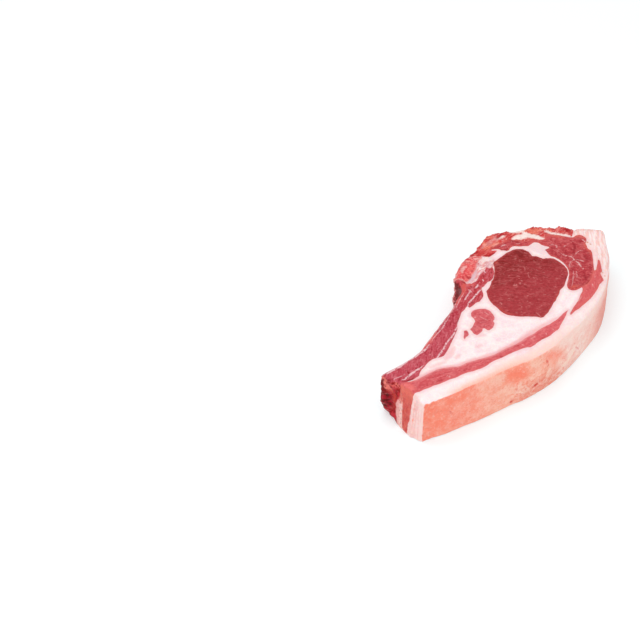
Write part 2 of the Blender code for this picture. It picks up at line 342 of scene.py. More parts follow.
carveOrder = [
    "rib_bone", "chine_bone", "eye_muscle", "chine_cartilage", "cap_muscle", "back_trim",
    "rib_muscle", "flank_muscle", "side_muscle", "inner_muscle_a", "inner_muscle_b",
    "inner_muscle_c",
]
seams = {  # outlines on the cut face, in millimetres; they run out past the chop's own edge
    "eye_muscle": [
        (25.3, 22), (27, 21.5), (29.6, 21), (31.8, 20.5), (34.3, 20.2), (36.8, 19.3), (38.7, 18.6),
        (40.2, 17.7), (41.6, 16.1), (42.3, 14.8), (41.9, 12.7), (42, 11.3), (41.1, 9.9), (39.7, 7.9),
        (40.9, 6.2), (41.1, 3.9), (41.2, 2.2), (42.6, 1.2), (44, -0.7), (44.7, -2.2), (44.6, -4.7),
        (44.1, -6.8), (43.1, -9.4), (41.9, -11.6), (39.6, -13.5), (36.6, -14.8), (33.2, -15.6),
        (30.5, -16.6), (27.9, -16.6), (26, -16.5), (24, -17.4), (20.7, -17.8), (18.6, -18.4),
        (16.7, -18.3), (13.7, -18.9), (11.2, -19.2), (8.8, -19.4), (7, -19.3), (5.2, -19.2),
        (3.7, -18.4), (3.2, -17), (2.6, -15.6), (1.2, -13.5), (-0.7, -11.2), (-2.2, -8.6), (-3.4, -5.8),
        (-4.1, -3.3), (-4.1, -1), (-3.7, 0.9), (-2.8, 3.3), (-2.1, 5.4), (-1.1, 7.8), (0.3, 10.1),
        (2.4, 12.3), (4.6, 14.2), (6.4, 14.1), (8.5, 14.2), (11, 15.1), (12.4, 15.7), (13.5, 15.5),
        (16.3, 16.6), (19.6, 18.4), (22, 20), (24, 21.8),
    ],
    "cap_muscle": [
        (48, 5.3), (47, 3.5), (46.1, 1.5), (45.4, -0.2), (45.9, -2.2), (45.7, -4.7), (45.1, -6.8),
        (44.2, -9.1), (42.9, -11.1), (40.8, -13.2), (38.3, -14.8), (35.5, -16), (32.6, -16.9),
        (30.7, -18.1), (29.6, -19.7), (29.8, -21.3), (31.2, -22.8), (33.2, -23.8), (34.8, -24.3),
        (35.9, -24.8), (38, -25.4), (41.2, -25.4), (44.3, -24.8), (47.4, -23.9), (49.3, -23.4),
        (52, -21.4), (55.1, -19.4), (57.7, -17.7), (60.1, -16), (61.2, -14.5), (61.1, -13.1),
        (62.6, -11.6), (63.9, -10), (65.9, -9.6), (67.6, -8.6), (68.5, -7.2), (68.8, -5.3), (68.2, -3.8),
        (66.8, -2.8), (64.7, -2.2), (63.4, -0.6), (62.5, 1.9), (61.7, 4.5), (61.1, 6.8), (60.8, 8.7),
        (60, 10.7), (58.9, 11.2), (56.8, 10.1), (55.3, 9), (53.5, 9.9), (52.3, 12.2), (51.1, 13.9),
        (48.9, 15.6), (47.1, 18.2), (45.8, 21), (45, 23), (43.4, 24.4), (41.3, 25.6), (39.2, 26.5),
        (37, 27.3), (35, 27.9), (32.9, 28.4), (31.5, 29.4), (32.4, 27.5), (34, 26), (35, 24.8),
        (34.9, 23.6), (35.9, 22.4), (36.4, 20.9), (37.5, 20.3), (39, 20.9), (40.6, 20.4), (42, 18.8),
        (43.1, 17), (44.6, 15.5), (45.8, 13.8), (47.7, 13.1), (49.6, 12.4), (50.6, 10.6), (50.3, 8.7),
        (50.6, 6.4), (51.2, 4.4), (50.5, 3.7), (49.3, 4.5),
    ],
    "side_muscle": [
        (57.7, -21.1), (57.2, -22.3), (54.8, -24.2), (52.6, -26.2), (51.3, -27), (49.4, -26.9),
        (47.9, -28.6), (46.6, -30.5), (44.7, -30.4), (42.5, -30.4), (39.8, -31), (36.5, -31.4),
        (33.1, -31.6), (30, -31.6), (27.2, -31.4), (23.8, -31), (20.5, -30.6), (17.5, -30),
        (13.8, -29.7), (14.9, -28.8), (16.8, -28.4), (19.1, -27.9), (22.5, -27.7), (26.5, -27.2),
        (28.7, -26.6), (31.8, -26), (34.2, -24.9), (35, -23), (40.4, -22.9), (46.4, -21.3),
        (49.9, -21.1), (49.1, -23.6), (50.1, -23.9), (53, -22.9), (55.8, -21.7),
    ],
    "flank_muscle": [
        (16.2, -27), (14.3, -27.2), (12.1, -27.9), (9.8, -28.3), (7.6, -28.7), (4.8, -29.1), (3, -29.6),
        (0.7, -29.3), (-2.3, -28.7), (-4.7, -28.3), (-7.6, -27.2), (-9.9, -26.3), (-11.9, -25.7),
        (-14.3, -25.4), (-16.8, -24.6), (-18.3, -23.2), (-20, -22), (-22.1, -21), (-24.2, -19.9),
        (-26.5, -19), (-28.6, -18), (-30.8, -17), (-32.7, -16.2), (-35.4, -14.7), (-37.7, -13.8),
        (-40.3, -13.1), (-42.6, -12.3), (-44.5, -11.1), (-47, -9.9), (-49.3, -8.4), (-51.8, -7.1),
        (-54, -6.2), (-56, -5.2), (-58.2, -3.7), (-60.7, -2.5), (-63.2, -1.2), (-65.4, 0.2),
        (-67.9, 1.5), (-70.4, 2.8), (-73.1, 3.8), (-75.9, 5.5), (-84.6, 8.9), (-84.6, 15.8),
        (-75.3, 18.4), (-72, 17.2), (-70.9, 14.4), (-71.4, 11.8), (-69.5, 10.7), (-67.8, 9.6),
        (-65.7, 8.7), (-63.4, 7.8), (-61.2, 6.9), (-59, 6.1), (-56.5, 4.8), (-54.3, 3.3), (-52.4, 1.6),
        (-50.6, -0.1), (-48.7, -2.4), (-47, -3.5), (-44.4, -4.3), (-42, -5.6), (-39.3, -7.4),
        (-36.8, -9.3), (-34.2, -11.1), (-31.4, -12.8), (-28.8, -13.8), (-26.5, -14.5), (-24, -15.6),
        (-21.4, -16.9), (-18.5, -18), (-15.3, -19), (-12.1, -19.7), (-8.9, -20.9), (-5.6, -21.5),
        (-2.3, -22.4), (0.3, -23.2), (2.4, -24.3), (5, -25.1), (7.7, -25.8), (9.8, -25.8), (12.3, -26),
        (14.6, -26.5),
    ],
    "inner_muscle_a": [
        (-13.6, 11.9), (-11.6, 12.2), (-10, 11.2), (-8.4, 9.8), (-6.8, 7.8), (-6.6, 5.6), (-7.2, 4.1),
        (-8.2, 2.3), (-9.6, 0.6), (-11.2, -0.1), (-12.2, 0), (-13.1, -1.7), (-15.6, -2.4), (-17.5, -2.1),
        (-18.7, -1.7), (-18.9, -0.7), (-18.7, 0.9), (-20.1, 1.2), (-20.6, 2.9), (-21.7, 5.1),
        (-21.6, 6.1), (-19, 6.8), (-17.4, 6.9), (-16.8, 7.9), (-16, 9.2), (-15.7, 10.6),
    ],
    "inner_muscle_b": [
        (-23.6, 6.3), (-21.6, 6.1), (-20.2, 6.1), (-18.5, 3.6), (-19.2, 1.5), (-21, 0.5), (-23.3, 0.7),
        (-24.9, 1.4), (-25.2, 3), (-24.3, 4.5),
    ],
    "inner_muscle_c": [
        (-26.1, 8.3), (-24.9, 7.2), (-25.8, 6.1), (-27, 4.8), (-28.5, 4.5), (-29.5, 5), (-31.1, 4.9),
        (-30.3, 5.9), (-28.4, 6.8),
    ],
    "rib_muscle": [
        (19.7, 23.7), (21, 23), (21.5, 20.9), (20, 19.1), (17.6, 17.3), (14, 16), (12, 16.3), (11.1, 17),
        (9.2, 17), (7.1, 16.9), (5.1, 17.2), (3.7, 16), (2.1, 14.5), (0.6, 13.5), (-1.7, 13),
        (-3.8, 12.9), (-5.6, 13.6), (-7.6, 13.9), (-9.6, 14.3), (-10.8, 14.8), (-10.4, 15.6),
        (-10.8, 16), (-12.9, 15.9), (-14.7, 15.9), (-16.8, 15.8), (-18.8, 15.1), (-20.9, 14.4),
        (-23, 13.7), (-24.9, 12.8), (-26.7, 11.6), (-29.5, 10.8), (-32.4, 10.1), (-35.3, 9.5),
        (-38.2, 8.8), (-41.1, 8.1), (-44, 7.5), (-46.4, 7.4), (-48.1, 8.1), (-49.7, 9.1), (-51.6, 10.2),
        (-54.2, 10.8), (-56.4, 11.1), (-58.4, 11), (-60.5, 11.2), (-62.7, 10.8), (-65, 10),
        (-67.9, 10.7), (-70.6, 11.7), (-72.7, 13.2), (-73.8, 14.2), (-75.2, 13.7), (-76.4, 12),
        (-78.1, 9.8), (-84.3, 10.8), (-85.8, 30), (-74.8, 37.4), (-14.3, 29.8), (9.3, 44.7),
        (14.6, 37.1), (3.1, 25.2), (4.8, 22.7), (9.7, 22.1), (13.5, 23.2), (16.6, 22.7),
    ],
    "chine_bone": [
        (19.6, 36.6), (21.4, 35.3), (20.7, 33.7), (22.7, 32.5), (24.1, 30.9), (24.5, 29.3), (24.3, 28),
        (22.1, 28.5), (20.2, 28.5), (17.7, 27.6), (14.9, 26.3), (12.5, 25.9), (10, 25.6), (7.7, 25),
        (5.5, 24.9), (3.7, 25.6), (3.2, 27.6), (3.6, 29.6), (0.9, 33.4), (11.1, 42.2),
    ],
    "chine_cartilage": [
        (20.3, 29.8), (23.6, 29.4), (25, 27.8), (26.8, 26.5), (27.7, 24), (26.1, 22.2), (22.4, 20.2),
        (20.2, 21.3), (20, 23), (18.6, 23), (16.7, 22.5), (14.6, 22.7), (12.8, 22.8), (10.4, 22.5),
        (7.3, 22.7), (4.9, 23.3), (2.8, 24.4), (5, 27.5), (8.7, 27.4), (14.3, 29.7),
    ],
    "back_trim": [
        (65.1, -1.4), (63.5, 1.3), (61.7, 3.8), (60.6, 7.4), (56, 7.2), (53.8, 7.7), (52, 10.3),
        (49, 14.5), (45.7, 18.6), (44, 22.4), (41.5, 24.5), (38.1, 26.1), (34, 27.3), (31.2, 28),
        (33.6, 25.2), (31.1, 24.9), (28.2, 25.6), (26.4, 26.3), (25.2, 28.6), (23.7, 30.1), (22.4, 32.3),
        (20.4, 33.5), (19, 36.2), (36.6, 48.4), (65, 42.3), (87, 11), (68, -0.4),
    ],
}


def wander(place):  # one warp for every seam, so neighbours still meet
    down = 1 - place.z / cadHigh.z  # the lower cut face differs a little from the upper one
    total = Vector((0, 0, 0))
    for name, at, share in (("fine", place, 1), ("slow", place, 1), ("deep", flat(place), down)):
        amount, size = wanderLook[name]
        total += noise.noise_vector(at / size) * amount * share
    return flat(total)


def prism(outline, bottom, top):
    bm = bmesh.new()
    base = bm.faces.new([bm.verts.new((x * mm, y * mm, bottom)) for x, y in outline])
    grown = bmesh.ops.extrude_face_region(bm, geom=[base])["geom"]
    lifted = [item for item in grown if isinstance(item, bmesh.types.BMVert)]
    bmesh.ops.translate(bm, verts=lifted, vec=(0, 0, top - bottom))
    bmesh.ops.recalc_face_normals(bm, faces=bm.faces)
    return bm


def ribCell(skinTree):  # the rib's own form, run out through the skin where it lies bare
    bm = cadCopy("rib_bone")
    for vert in bm.verts:
        found = skinTree.find_nearest(vert.co)
        if found[3] < cellLook["bare"]:
            vert.co += flat(found[1]).normalized() * cellLook["reach"]
    return bm


def narrowed(p):  # how far across a place on the flank's border is moved
    near = rise(-p.x, flankLook["from"])
    inner = reading(flankLook["inner"], p.z / mm) * mm
    if p.y > inner:
        return (inner - p.y) * flankLook["pinch"] * near * fall(p.z, flankLook["pinchTo"])
    if p.y < flankLook["outer"] * mm:
        return flankLook["taper"] * mm * near * clamp(1 - p.z / cadHigh.z)
    return 0.0


def buildCell(nodeName, skinTree):
    reach = cellLook["reach"]
    straight = nodeName in seams
    form = prism(seams[nodeName], -reach, cadHigh.z + reach) if straight else ribCell(skinTree)
    cell = newObject(nodeName + "Cell", form)
    squeeze = cellLook["flatten"] if straight else 1.0
    cell.data.transform(Matrix.Diagonal((1, 1, squeeze, 1)))
    addModifier(cell, "REMESH", mode="VOXEL", voxel_size=cellLook["grid"])
    addModifier(cell, "SMOOTH", factor=0.5, iterations=cellLook["smoothing"], use_z=False)
    applyAll(cell)
    cell.data.transform(Matrix.Diagonal((1, 1, 1 / squeeze, 1)))
    for vert in cell.data.vertices:
        if nodeName == "flank_muscle":
            vert.co.y += narrowed(vert.co)
        vert.co += wander(vert.co)
    return cell


def boolean(name, source, tool, operation):
    made = source.copy()
    made.name = name
    made.data = source.data.copy()
    bpy.context.scene.collection.objects.link(made)
    addModifier(made, "BOOLEAN", operation=operation, solver="MANIFOLD", object=tool)
    applyAll(made)
    return made


def skinOf(mesh):
    bm = bmesh.new()
    bm.from_mesh(mesh)
    tree = BVHTree.FromBMesh(bm)
    bm.free()
    return tree


def triangles(piece):
    return sum(len(face.vertices) - 2 for face in piece.data.polygons)


def carve(whole, skinTree):
    pieces = {}
    rest = whole
    for nodeName in carveOrder:
        cell = buildCell(nodeName, skinTree)
        pieces[nodeName] = boolean(nodeName + "Flesh", rest, cell, "INTERSECT")
        less = boolean("rest", rest, cell, "DIFFERENCE")
        drop(rest)
        drop(cell)
        rest = less
        print(nodeName, triangles(pieces[nodeName]))
    rest.name = "fatFlesh"
    pieces["fat"] = rest
    print("fat", triangles(rest))
    return pieces


def dropCrumbs(piece):  # the cuts leave a few loose faces beside a piece
    bm = bmesh.new()
    bm.from_mesh(piece.data)
    waiting, crumbs = set(bm.verts), []
    while waiting:
        front, island = [waiting.pop()], []
        while front:
            vert = front.pop()
            island.append(vert)
            near = {link.other_vert(vert) for link in vert.link_edges} & waiting
            waiting -= near
            front.extend(near)
        if len(island) < cellLook["crumb"]:
            crumbs.extend(island)
    bmesh.ops.delete(bm, geom=crumbs, context="VERTS")
    bm.to_mesh(piece.data)
    bm.free()


whole = buildWhole()
print("whole form", len(whole.data.polygons), "faces")
shapeSides(whole)
reliefOf(whole)
skinTree = skinOf(whole.data)
print("relief done")
pieces = carve(whole, skinTree)
for piece in pieces.values():
    dropCrumbs(piece)
print("carved")


# lines and spots that the meat shows, in millimetres, each with half its width; those
# with two numbers a point are on both cut faces

paleLines = {
    "cap_muscle": [
        (0.30, [(50.3, -3.2), (50.5, -5.5), (51, -7.6), (51.2, -9.2), (50.5, -10.8)]),
        (0.55, [(50.2, -10.4), (49.8, -11.5)]),
        (0.36, [(49.8, -11.8), (49.4, -13.8), (48.3, -15.5), (47.1, -17.1)]),
        (0.40, [(46.8, -17.9), (46.9, -18.4)]),
        (0.30, [(50.8, -11.5), (51.4, -13.8), (52.1, -16.4)]),
        (0.26, [(49.6, -10.7), (47.8, -10.3), (45.6, -10.9), (43.8, -12.3)]),
        (0.22, [(42.7, -14.6), (39.6, -16.7), (35.4, -18.4), (31.9, -19.8)]),
        (0.18, [(43.6, -15.9), (39.3, -18.9)]),
        (0.25, [(52.8, -9.5), (55.7, -9.6), (57.6, -9.7), (59.1, -11.3)]),
        (0.24, [(52.3, 4.5), (54.2, 3.8), (54.1, 1.3), (52.5, 1)]),
        (0.40, [(65.9, -6.3), (65.7, -7.9), (64.8, -9.3)]),
        (0.28, [(55.8, -1.9), (57.4, -2.2)]),
        (0.30, [(36.5, 25.1), (38.7, 24.6), (40.2, 23.1)]),
        (0.20, [(43.2, 20.1), (45.3, 17.7)]),
    ],
    "eye_muscle": [
        (0.15, [(26.7, 19.3), (27.4, 17.3), (27.8, 15.1)]),
        (0.30, [(33.9, 12.2), (33.4, 11.6)]),
        (0.25, [(30.6, 7.9), (29.9, 6.3), (27.9, 5.1)]),
        (0.22, [(30.6, 4.9), (32.1, 3.4), (32.5, 1.3), (32.1, -0.1)]),
        (0.14, [(32.1, -0.1), (33.9, -2.1)]),
        (0.26, [(27.3, 3.4), (26.4, 2.1), (24.9, 0.4)]),
        (0.50, [(21.1, 3.3), (21.1, 2.6)]),
        (0.34, [(19.6, 2.9), (18.3, 2.2)]),
        (0.44, [(15.4, 5.1), (16.4, 4.2), (17.5, 3.1)]),
        (0.20, [(26.7, -2.1), (26.6, -3.3)]),
        (0.20, [(6.1, 6.3), (6.8, 5.2)]),
        (0.25, [(16.3, -5.8), (16.6, -6.8)]),
        (0.30, [(9.9, -6.4), (10.3, -7.2)]),
        (0.50, [(1.2, 3.9), (0.6, 2.4)]),
        (0.25, [(-0.4, -5.7), (-0.4, -7.5)]),
        (0.26, [(5.4, -14.5), (4.4, -16.8), (4, -18.2)]),
        (0.13, [(18.5, 10.8), (20.6, 8.5)]),
        (0.13, [(21.8, -7.3), (24.4, -11.6)]),
    ],
    "rib_muscle": [
        (0.20, [(-15.5, 20.1), (-8.5, 21.5), (-3.1, 22.5)]),
        (0.44, [(-10.9, 15.6), (-8.1, 16.5), (-4.2, 16.5), (-0.7, 16.6), (3.1, 16.9), (5.8, 16.1)]),
        (0.40, [(-8.3, 19.3), (-6.2, 19.4), (-3.5, 19.9), (-0.7, 20.4)]),
        (0.58, [(5.2, 22.9), (7.1, 22.6), (9.8, 22.7)]),
        (0.46, [(2.3, 19.3), (4.9, 19.4), (6.9, 19.8)]),
        (0.45, [(0.1, 21.8), (-1, 19.6)]),
        (0.44, [(-22.4, 14), (-25.5, 12.4), (-29.2, 11.6), (-33, 10.9), (-35.6, 11),
                (-38.8, 10.8), (-41.7, 10.1), (-44.5, 9.5), (-47.7, 9.2), (-51.1, 9.4), (-55, 10.3)]),
        (0.46, [(-57.5, 11.6), (-62.6, 12.9), (-66.5, 13.9), (-70.1, 14.4), (-72.3, 15.3)]),
        (0.20, [(-74, 18.8), (-70.4, 17.1), (-67, 15.8)]),
        (0.32, [(17.2, 23.1), (15.2, 20.7)]),
        (0.42, [(19.3, 22.6), (20.2, 20.7)]),
        (0.34, [(10.9, 20.4), (9.6, 18.4)]),
        (2.60, [(-77, 12.6, 20.5), (-77, 13.6, 15.0), (-77, 13.8, 9.5), (-77, 13.0, 4.0),
                (-77, 11.6, -2.0)]),
        (0.70, [(-72.8, 23.4), (-67.2, 21.7), (-62.9, 20.5), (-59.7, 19.6)]),
        (0.48, [(-58.7, 19.3), (-52.9, 17.8), (-47.2, 16.8), (-43.6, 17.0)]),
        (0.30, [(-42.6, 17.6), (-38.7, 17.8), (-30.8, 18.1), (-20.5, 19.9)]),
    ],
    "inner_muscle_a": [
        (0.35, [(-15.4, 9), (-14, 8.1)]),
        (0.22, [(-13.1, 6.9), (-13.2, 4.5), (-13, 1.8)]),
        (0.22, [(-8.9, 7.1), (-9.9, 3.6)]),
        (0.40, [(-16.8, 1.8), (-16.8, 1.2)]),
    ],
    "flank_muscle": [
        (0.50, [(-4, -25.7), (-4.9, -26.8)]),
        (0.40, [(0.2, -26.7), (-0, -27.7)]),
        (0.42, [(-17.9, -20.2), (-18, -21.3)]),
        (0.45, [(-12.7, -21.6), (-8.9, -22.8)]),
        (0.50, [(-56.2, -1.9), (-57.1, -3)]),
        (0.18, [(-52.3, -2.9), (-59.3, 1.3), (-66.2, 5.4)]),
        (0.18, [(-41.4, -10.4), (-45.9, -7.4)]),
    ],
    "back_trim": [
        (1.25, [(46, 22.9), (49.4, 20.7), (52.8, 17.9), (54.2, 13.9), (54.9, 10.1)]),
        (0.80, [(52.6, 20.8), (53.7, 17.3)]),
        (0.35, [(60.9, 12.4), (62, 8.2), (63.3, 3.6), (65, -0.2)]),
        (0.50, [(35.8, 32), (38.7, 30.7), (41.5, 29.3), (44.6, 27.6)]),
        (0.60, [(30.8, 32.6), (34.2, 31.6), (37, 30.3)]),
        (0.60, [(49.4, 26.8), (52.1, 23.6), (54.6, 21.4)]),
        (0.45, [(34.7, 28.9), (38.5, 27.6)]),
    ],
    "chine_bone": [
        (0.70, [(11.1, 34.3), (11.7, 32.3), (13.8, 31.8)]),
        (0.50, [(3.8, 29.2), (4.1, 27.6)]),
        (0.40, [(21.3, 31.6), (22.8, 29.5)]),
        (0.70, [(8.3, 31.0), (9.9, 31.9), (11.9, 31.9)]),
    ],
    "side_muscle": [
        (0.25, [(39.8, -27.3), (37.8, -29.5)]),
        (0.20, [(29.2, -27.4), (24.3, -27.9)]),
    ],
    "fat": [
        (0.34, [(-30.6, -24.3, 8.7), (-27.3, -25.9, 7.5), (-24.3, -27.2, 4.6)]),
        (0.36, [(-24.8, -27.0, 3.4), (-22.0, -28.2, 3.5), (-18.4, -29.3, 0.6)]),
        (1.60, [(-0.1, -33.7, 6.7), (4.8, -34.2, 8.0), (8.5, -34.7, 10.9)]),
    ],
}
deepLines = {
    "cap_muscle": [
        (0.30, [(51.5, -3.7), (52.7, -6), (54.5, -8)]),
        (0.70, [(61.2, -4.2), (58.4, -6.9), (54.8, -8.4)]),
        (0.70, [(55.8, -13.7), (54.7, -16.1)]),
        (0.60, [(44, -20.3), (40.6, -23.3)]),
        (0.50, [(43.3, 24.4), (44.6, 21.5), (45.4, 18.4)]),
        (0.40, [(34.8, 24.1), (37, 21.2)]),
        (0.40, [(38.1, -24.8), (41.2, -25.4)]),
    ],
    "eye_muscle": [
        (1.30, [(38, 17), (38.1, 14.1), (35.8, 12.1)]),
        (0.40, [(18.7, 0.3), (18.3, -1.7)]),
        (0.40, [(30.7, -3.9), (30.9, -5.5)]),
        # painted shade: a greyish line of shadow in the eye's seam with the cap
        (0.30, [(37.4, -13.5), (32.6, -15.7)]),
    ],
    "rib_muscle": [
        (0.60, [(3.5, 28.4), (3.3, 26.8), (3.1, 25.2)]),
        (0.50, [(-7.2, 15.8), (-6.9, 14.8)]),
        (0.50, [(2.5, 22.1), (2, 20.9)]),
        (0.45, [(13.9, 21.3), (12.1, 20)]),
        (0.50, [(-18.8, 15.1), (-23.9, 13.7)]),
        (0.60, [(-72, 13.7), (-70.1, 12.1), (-67, 11.2)]),
        (0.90, [(-75.3, 18.4), (-76.7, 15.8), (-78.3, 12.4)]),
        (0.80, [(-75.9, 21.5), (-74.5, 19.6)]),
        (0.40, [(4.8, 20.2), (3.8, 17.8)]),
        (0.55, [(-77, 12.7, 17.3), (-77, 12.4, 16.6)]),
        (0.45, [(-77, 13.3, 12.3), (-77, 13.0, 11.7)]),
        (0.45, [(-77, 12.2, 8.2), (-77, 11.9, 7.6)]),
        (0.40, [(-77, 13.6, 9.9), (-77, 13.4, 9.3)]),
        (0.45, [(-77, 11.3, 5.6), (-77, 11.1, 4.6)]),
    ],
    "flank_muscle": [
        (0.50, [(-9.9, -25.7), (-7.3, -27)]),
        (0.50, [(-31.2, -15.5), (-30.6, -16.9)]),
        (0.40, [(-21.4, -17.7), (-19.4, -19.3)]),
        (0.80, [(-62.9, 0.7), (-60.7, -1.3)]),
    ],
    "fat": [
        (0.90, [(8.6, -25.3), (2.7, -23), (-2, -21.1), (-6.7, -19.3),
                (-12.6, -18.2), (-18.4, -17.1), (-23.4, -15.4), (-28.8, -13)]),
        (0.80, [(-41.2, 1.2), (-44.1, 1.7)]),
        (1.20, [(-38.6, 6.2), (-44.2, 5.1), (-48.0, 5.4)]),
        (0.60, [(-32.1, -2.4), (-29.8, -4.4)]),
        (0.80, [(-49.4, 4.6), (-57, 8.5)]),
        (0.70, [(-24.5, -0), (-22.2, -2.1)]),
        (0.35, [(65.2, -9.9), (65.4, -12.2)]),
        (0.30, [(50.6, -25.9), (48.6, -28.2)]),
        (0.75, [(-20.6, -28.8, 7.0), (-19.4, -29.2, 7.3), (-18.1, -29.7, 7.2)]),
        (0.80, [(-32.8, -23.2, 3.2), (-31.7, -23.7, 3.3)]),
        (0.35, [(18.9, -35.5, 3.3), (21.1, -35.4, 2.9), (23.5, -35.4, 1.5)]),
        (0.28, [(-13.4, -31.3, 21.0), (-11.6, -31.7, 17.6), (-12.1, -31.6, 15.8)]),
        (0.30, [(-66.4, -9.0, 16.8), (-64.7, -9.8, 14.2)]),
        (0.28, [(10.9, -34.9, 11.9), (14.4, -35.3, 7.0)]),
    ],
    "back_trim": [
        (0.50, [(64.4, 10.2), (65.2, 8.3)]),
        (0.90, [(65.7, 5.5), (67.9, 3.8), (66.5, 1.8)]),
        (0.60, [(69.3, 5.2), (68.4, 1.7), (65.4, 0.6)]),
        (0.80, [(40.5, 30), (44.1, 29.7), (46.6, 29.4)]),
        (0.50, [(45.3, 28.6), (46.8, 26.5)]),
        (0.50, [(59, 19.2), (60.6, 18.9)]),
        (0.60, [(21.7, 33.6), (23.2, 32.8)]),
        (0.70, [(25.5, 33.5), (27, 32.7)]),
        (0.90, [(22.3, 34.4), (24.6, 34.2), (27.4, 33.4)]),
        (0.80, [(25.9, 28.4), (28.3, 26.2), (31.4, 25.1)]),
        (0.50, [(32.8, 28.4), (34.4, 27.5)]),
        (0.40, [(35.2, 26.2), (37.2, 26.1)]),
    ],
    "chine_bone": [
        (0.50, [(12.4, 28.5), (12.7, 26.9)]),
        (0.70, [(8.1, 28.3), (7.1, 25.9), (9.5, 25)]),
        (0.40, [(15.8, 35.5), (16.1, 33.8)]),
        (0.60, [(17.6, 35.2), (20.6, 34.2)]),
        (0.45, [(10.6, 34.4), (12.0, 33.2)]),
        (0.60, [(2.7, 29.8), (3.2, 28.0), (3.0, 26.0)]),
    ],
    "chine_cartilage": [
        (0.90, [(14.2, 26), (10.5, 24.9), (6.4, 24.2), (4.3, 24.7)]),
        (0.70, [(26, 25.5), (27.5, 24)]),
    ],
}
warmLines = {
    "cap_muscle": [
        (0.70, [(57.8, 10), (59.4, 9.7), (60.5, 5.6), (61.9, 1.6)]),
        (0.90, [(64.2, -2.5), (67.7, -4.1), (67.8, -7.6)]),
        (0.70, [(63.8, -9.2), (61.7, -11.6), (60.9, -14.4), (58.7, -16.5)]),
        (0.80, [(31.4, -20.4), (34.5, -22.2)]),
    ],
    "eye_muscle": [
        (0.50, [(-1.8, 5), (-2.8, 2.1), (-3.5, -1.8), (-2.7, -5.4)]),
        (0.60, [(25.6, 21.6), (24.9, 19.9)]),
        (0.40, [(25.4, -16.9), (19.2, -18.1)]),
    ],
    "rib_muscle": [
        (1.70, [(-77, 22.8, 25.6), (-77, 21.6, 22.4), (-77, 20.4, 18.8), (-77, 19.2, 17.8)]),
        (1.50, [(-77, 18.2, 18.5), (-77, 17.6, 13.5), (-77, 16.6, 8.5)]),
        (2.00, [(0.1, 25.7), (2.5, 24.8), (4.3, 23.5), (4.2, 21.1)]),
        (1.60, [(-6.7, 22.7), (-2.1, 23.7), (0.9, 24.4)]),
        (1.20, [(-12.7, 21.3), (-7.3, 22.3)]),
        (0.90, [(-51.8, 18.7), (-46.4, 18.1), (-39.8, 18.3), (-34.9, 18.5)]),
    ],
    "flank_muscle": [
        (2.40, [(-74.8, 13.1), (-74.2, 10), (-73.1, 7.3)]),
    ],
    "back_trim": [
        (1.20, [(54.3, 21.2), (57.4, 19.4), (59.2, 16.8), (60.4, 14.5)]),
        (0.90, [(55.1, 18), (57.2, 15)]),
        (0.90, [(37.9, 34.5), (40, 32.7)]),
        (0.80, [(34.4, 34.1), (32.3, 30.4)]),
        (0.80, [(62.3, 13.2), (62.7, 9.8)]),
        (0.80, [(30.7, 31.3), (33.2, 29.2)]),
    ],
    "chine_cartilage": [
        (0.60, [(21, 25.4), (23.2, 24.9)]),
        (0.70, [(21.1, 27.9), (18.6, 27.5)]),
    ],
    "fat": [
        (6.3, [(-35.9, -21.3, 25.5), (-30.6, -24.0, 22.0), (-24.8, -27.0, 17.6)]),
        (4.2, [(-14.8, -30.7, 25.0), (-8.3, -32.2, 20.4), (-1.8, -33.5, 17.0)]),
        (3.0, [(-76.2, -4.2, 24.7), (-75.9, -4.6, 15.6), (-74.0, -5.7, 5.9)]),
        (2.4, [(-68.4, -8.1, 23.4), (-64.7, -9.8, 23.3), (-61.0, -11.4, 23.0),
               (-57.7, -12.8, 22.4)]),
    ],
}
hazeBorder = [(0.0, seams["flank_muscle"][48:])]  # where the flank fades into the fat
hazeLines = {"fat": hazeBorder, "flank_muscle": hazeBorder}
spotLines = {
    "fat": [
        (0.60, [(65.2, -9.9), (65.5, -10.4)]),
        (0.55, [(65.3, -12.0), (65.1, -12.5)]),
        (0.40, [(63.3, -12.3), (63.0, -12.6)]),
        (0.40, [(66.5, -8.4), (66.8, -8.7)]),
        (0.45, [(50.9, -27.2), (50.6, -27.6)]),
        (0.40, [(49.9, -29.0), (49.5, -29.4)]),
    ],
}
lineKinds = {"pale": paleLines, "deep": deepLines, "warm": warmLines, "haze": hazeLines,
             "spot": spotLines}
lineLook = {
    "step": 0.25,       # distance between the points kept along a line
    "wobble": 0.35 * mm,
    "wobbleSize": 2.5 * mm,
    "thin": 0.7,        # how much thinner a line's ends are
    "thinPower": 3,
    "far": 9.0,         # what a place without lines near it reads
}


def lineTree(lines):
    spots, halves = [], []
    top = cadHigh.z / mm
    for half, points in lines:
        levels = (top, 0.0) if len(points[0]) == 2 else (None,)
        for level in levels:
            path = [Vector(point if level is None else (*point, level)) for point in points]
            lengths = [(b - a).length for a, b in zip(path, path[1:])]
            done, total = 0.0, sum(lengths)
            for start, stop, length in zip(path, path[1:], lengths):
                count = max(1, int(length / lineLook["step"]))
                for index in range(count):
                    t = (done + length * index / count) / total
                    spots.append(start.lerp(stop, index / count) * mm)
                    outer = abs(2 * t - 1) ** lineLook["thinPower"]
                    halves.append(half * (1 - outer * lineLook["thin"]))
                done += length
    return treeOf(spots), halves


def lineMeasure(place, tree, halves):  # millimetres outside the nearest line
    found = tree.find(place)
    return found[2] / mm - halves[found[1]]


def store(piece, name, values):
    layer = piece.data.attributes.new(name, "FLOAT", "POINT")
    layer.data.foreach_set("value", values)


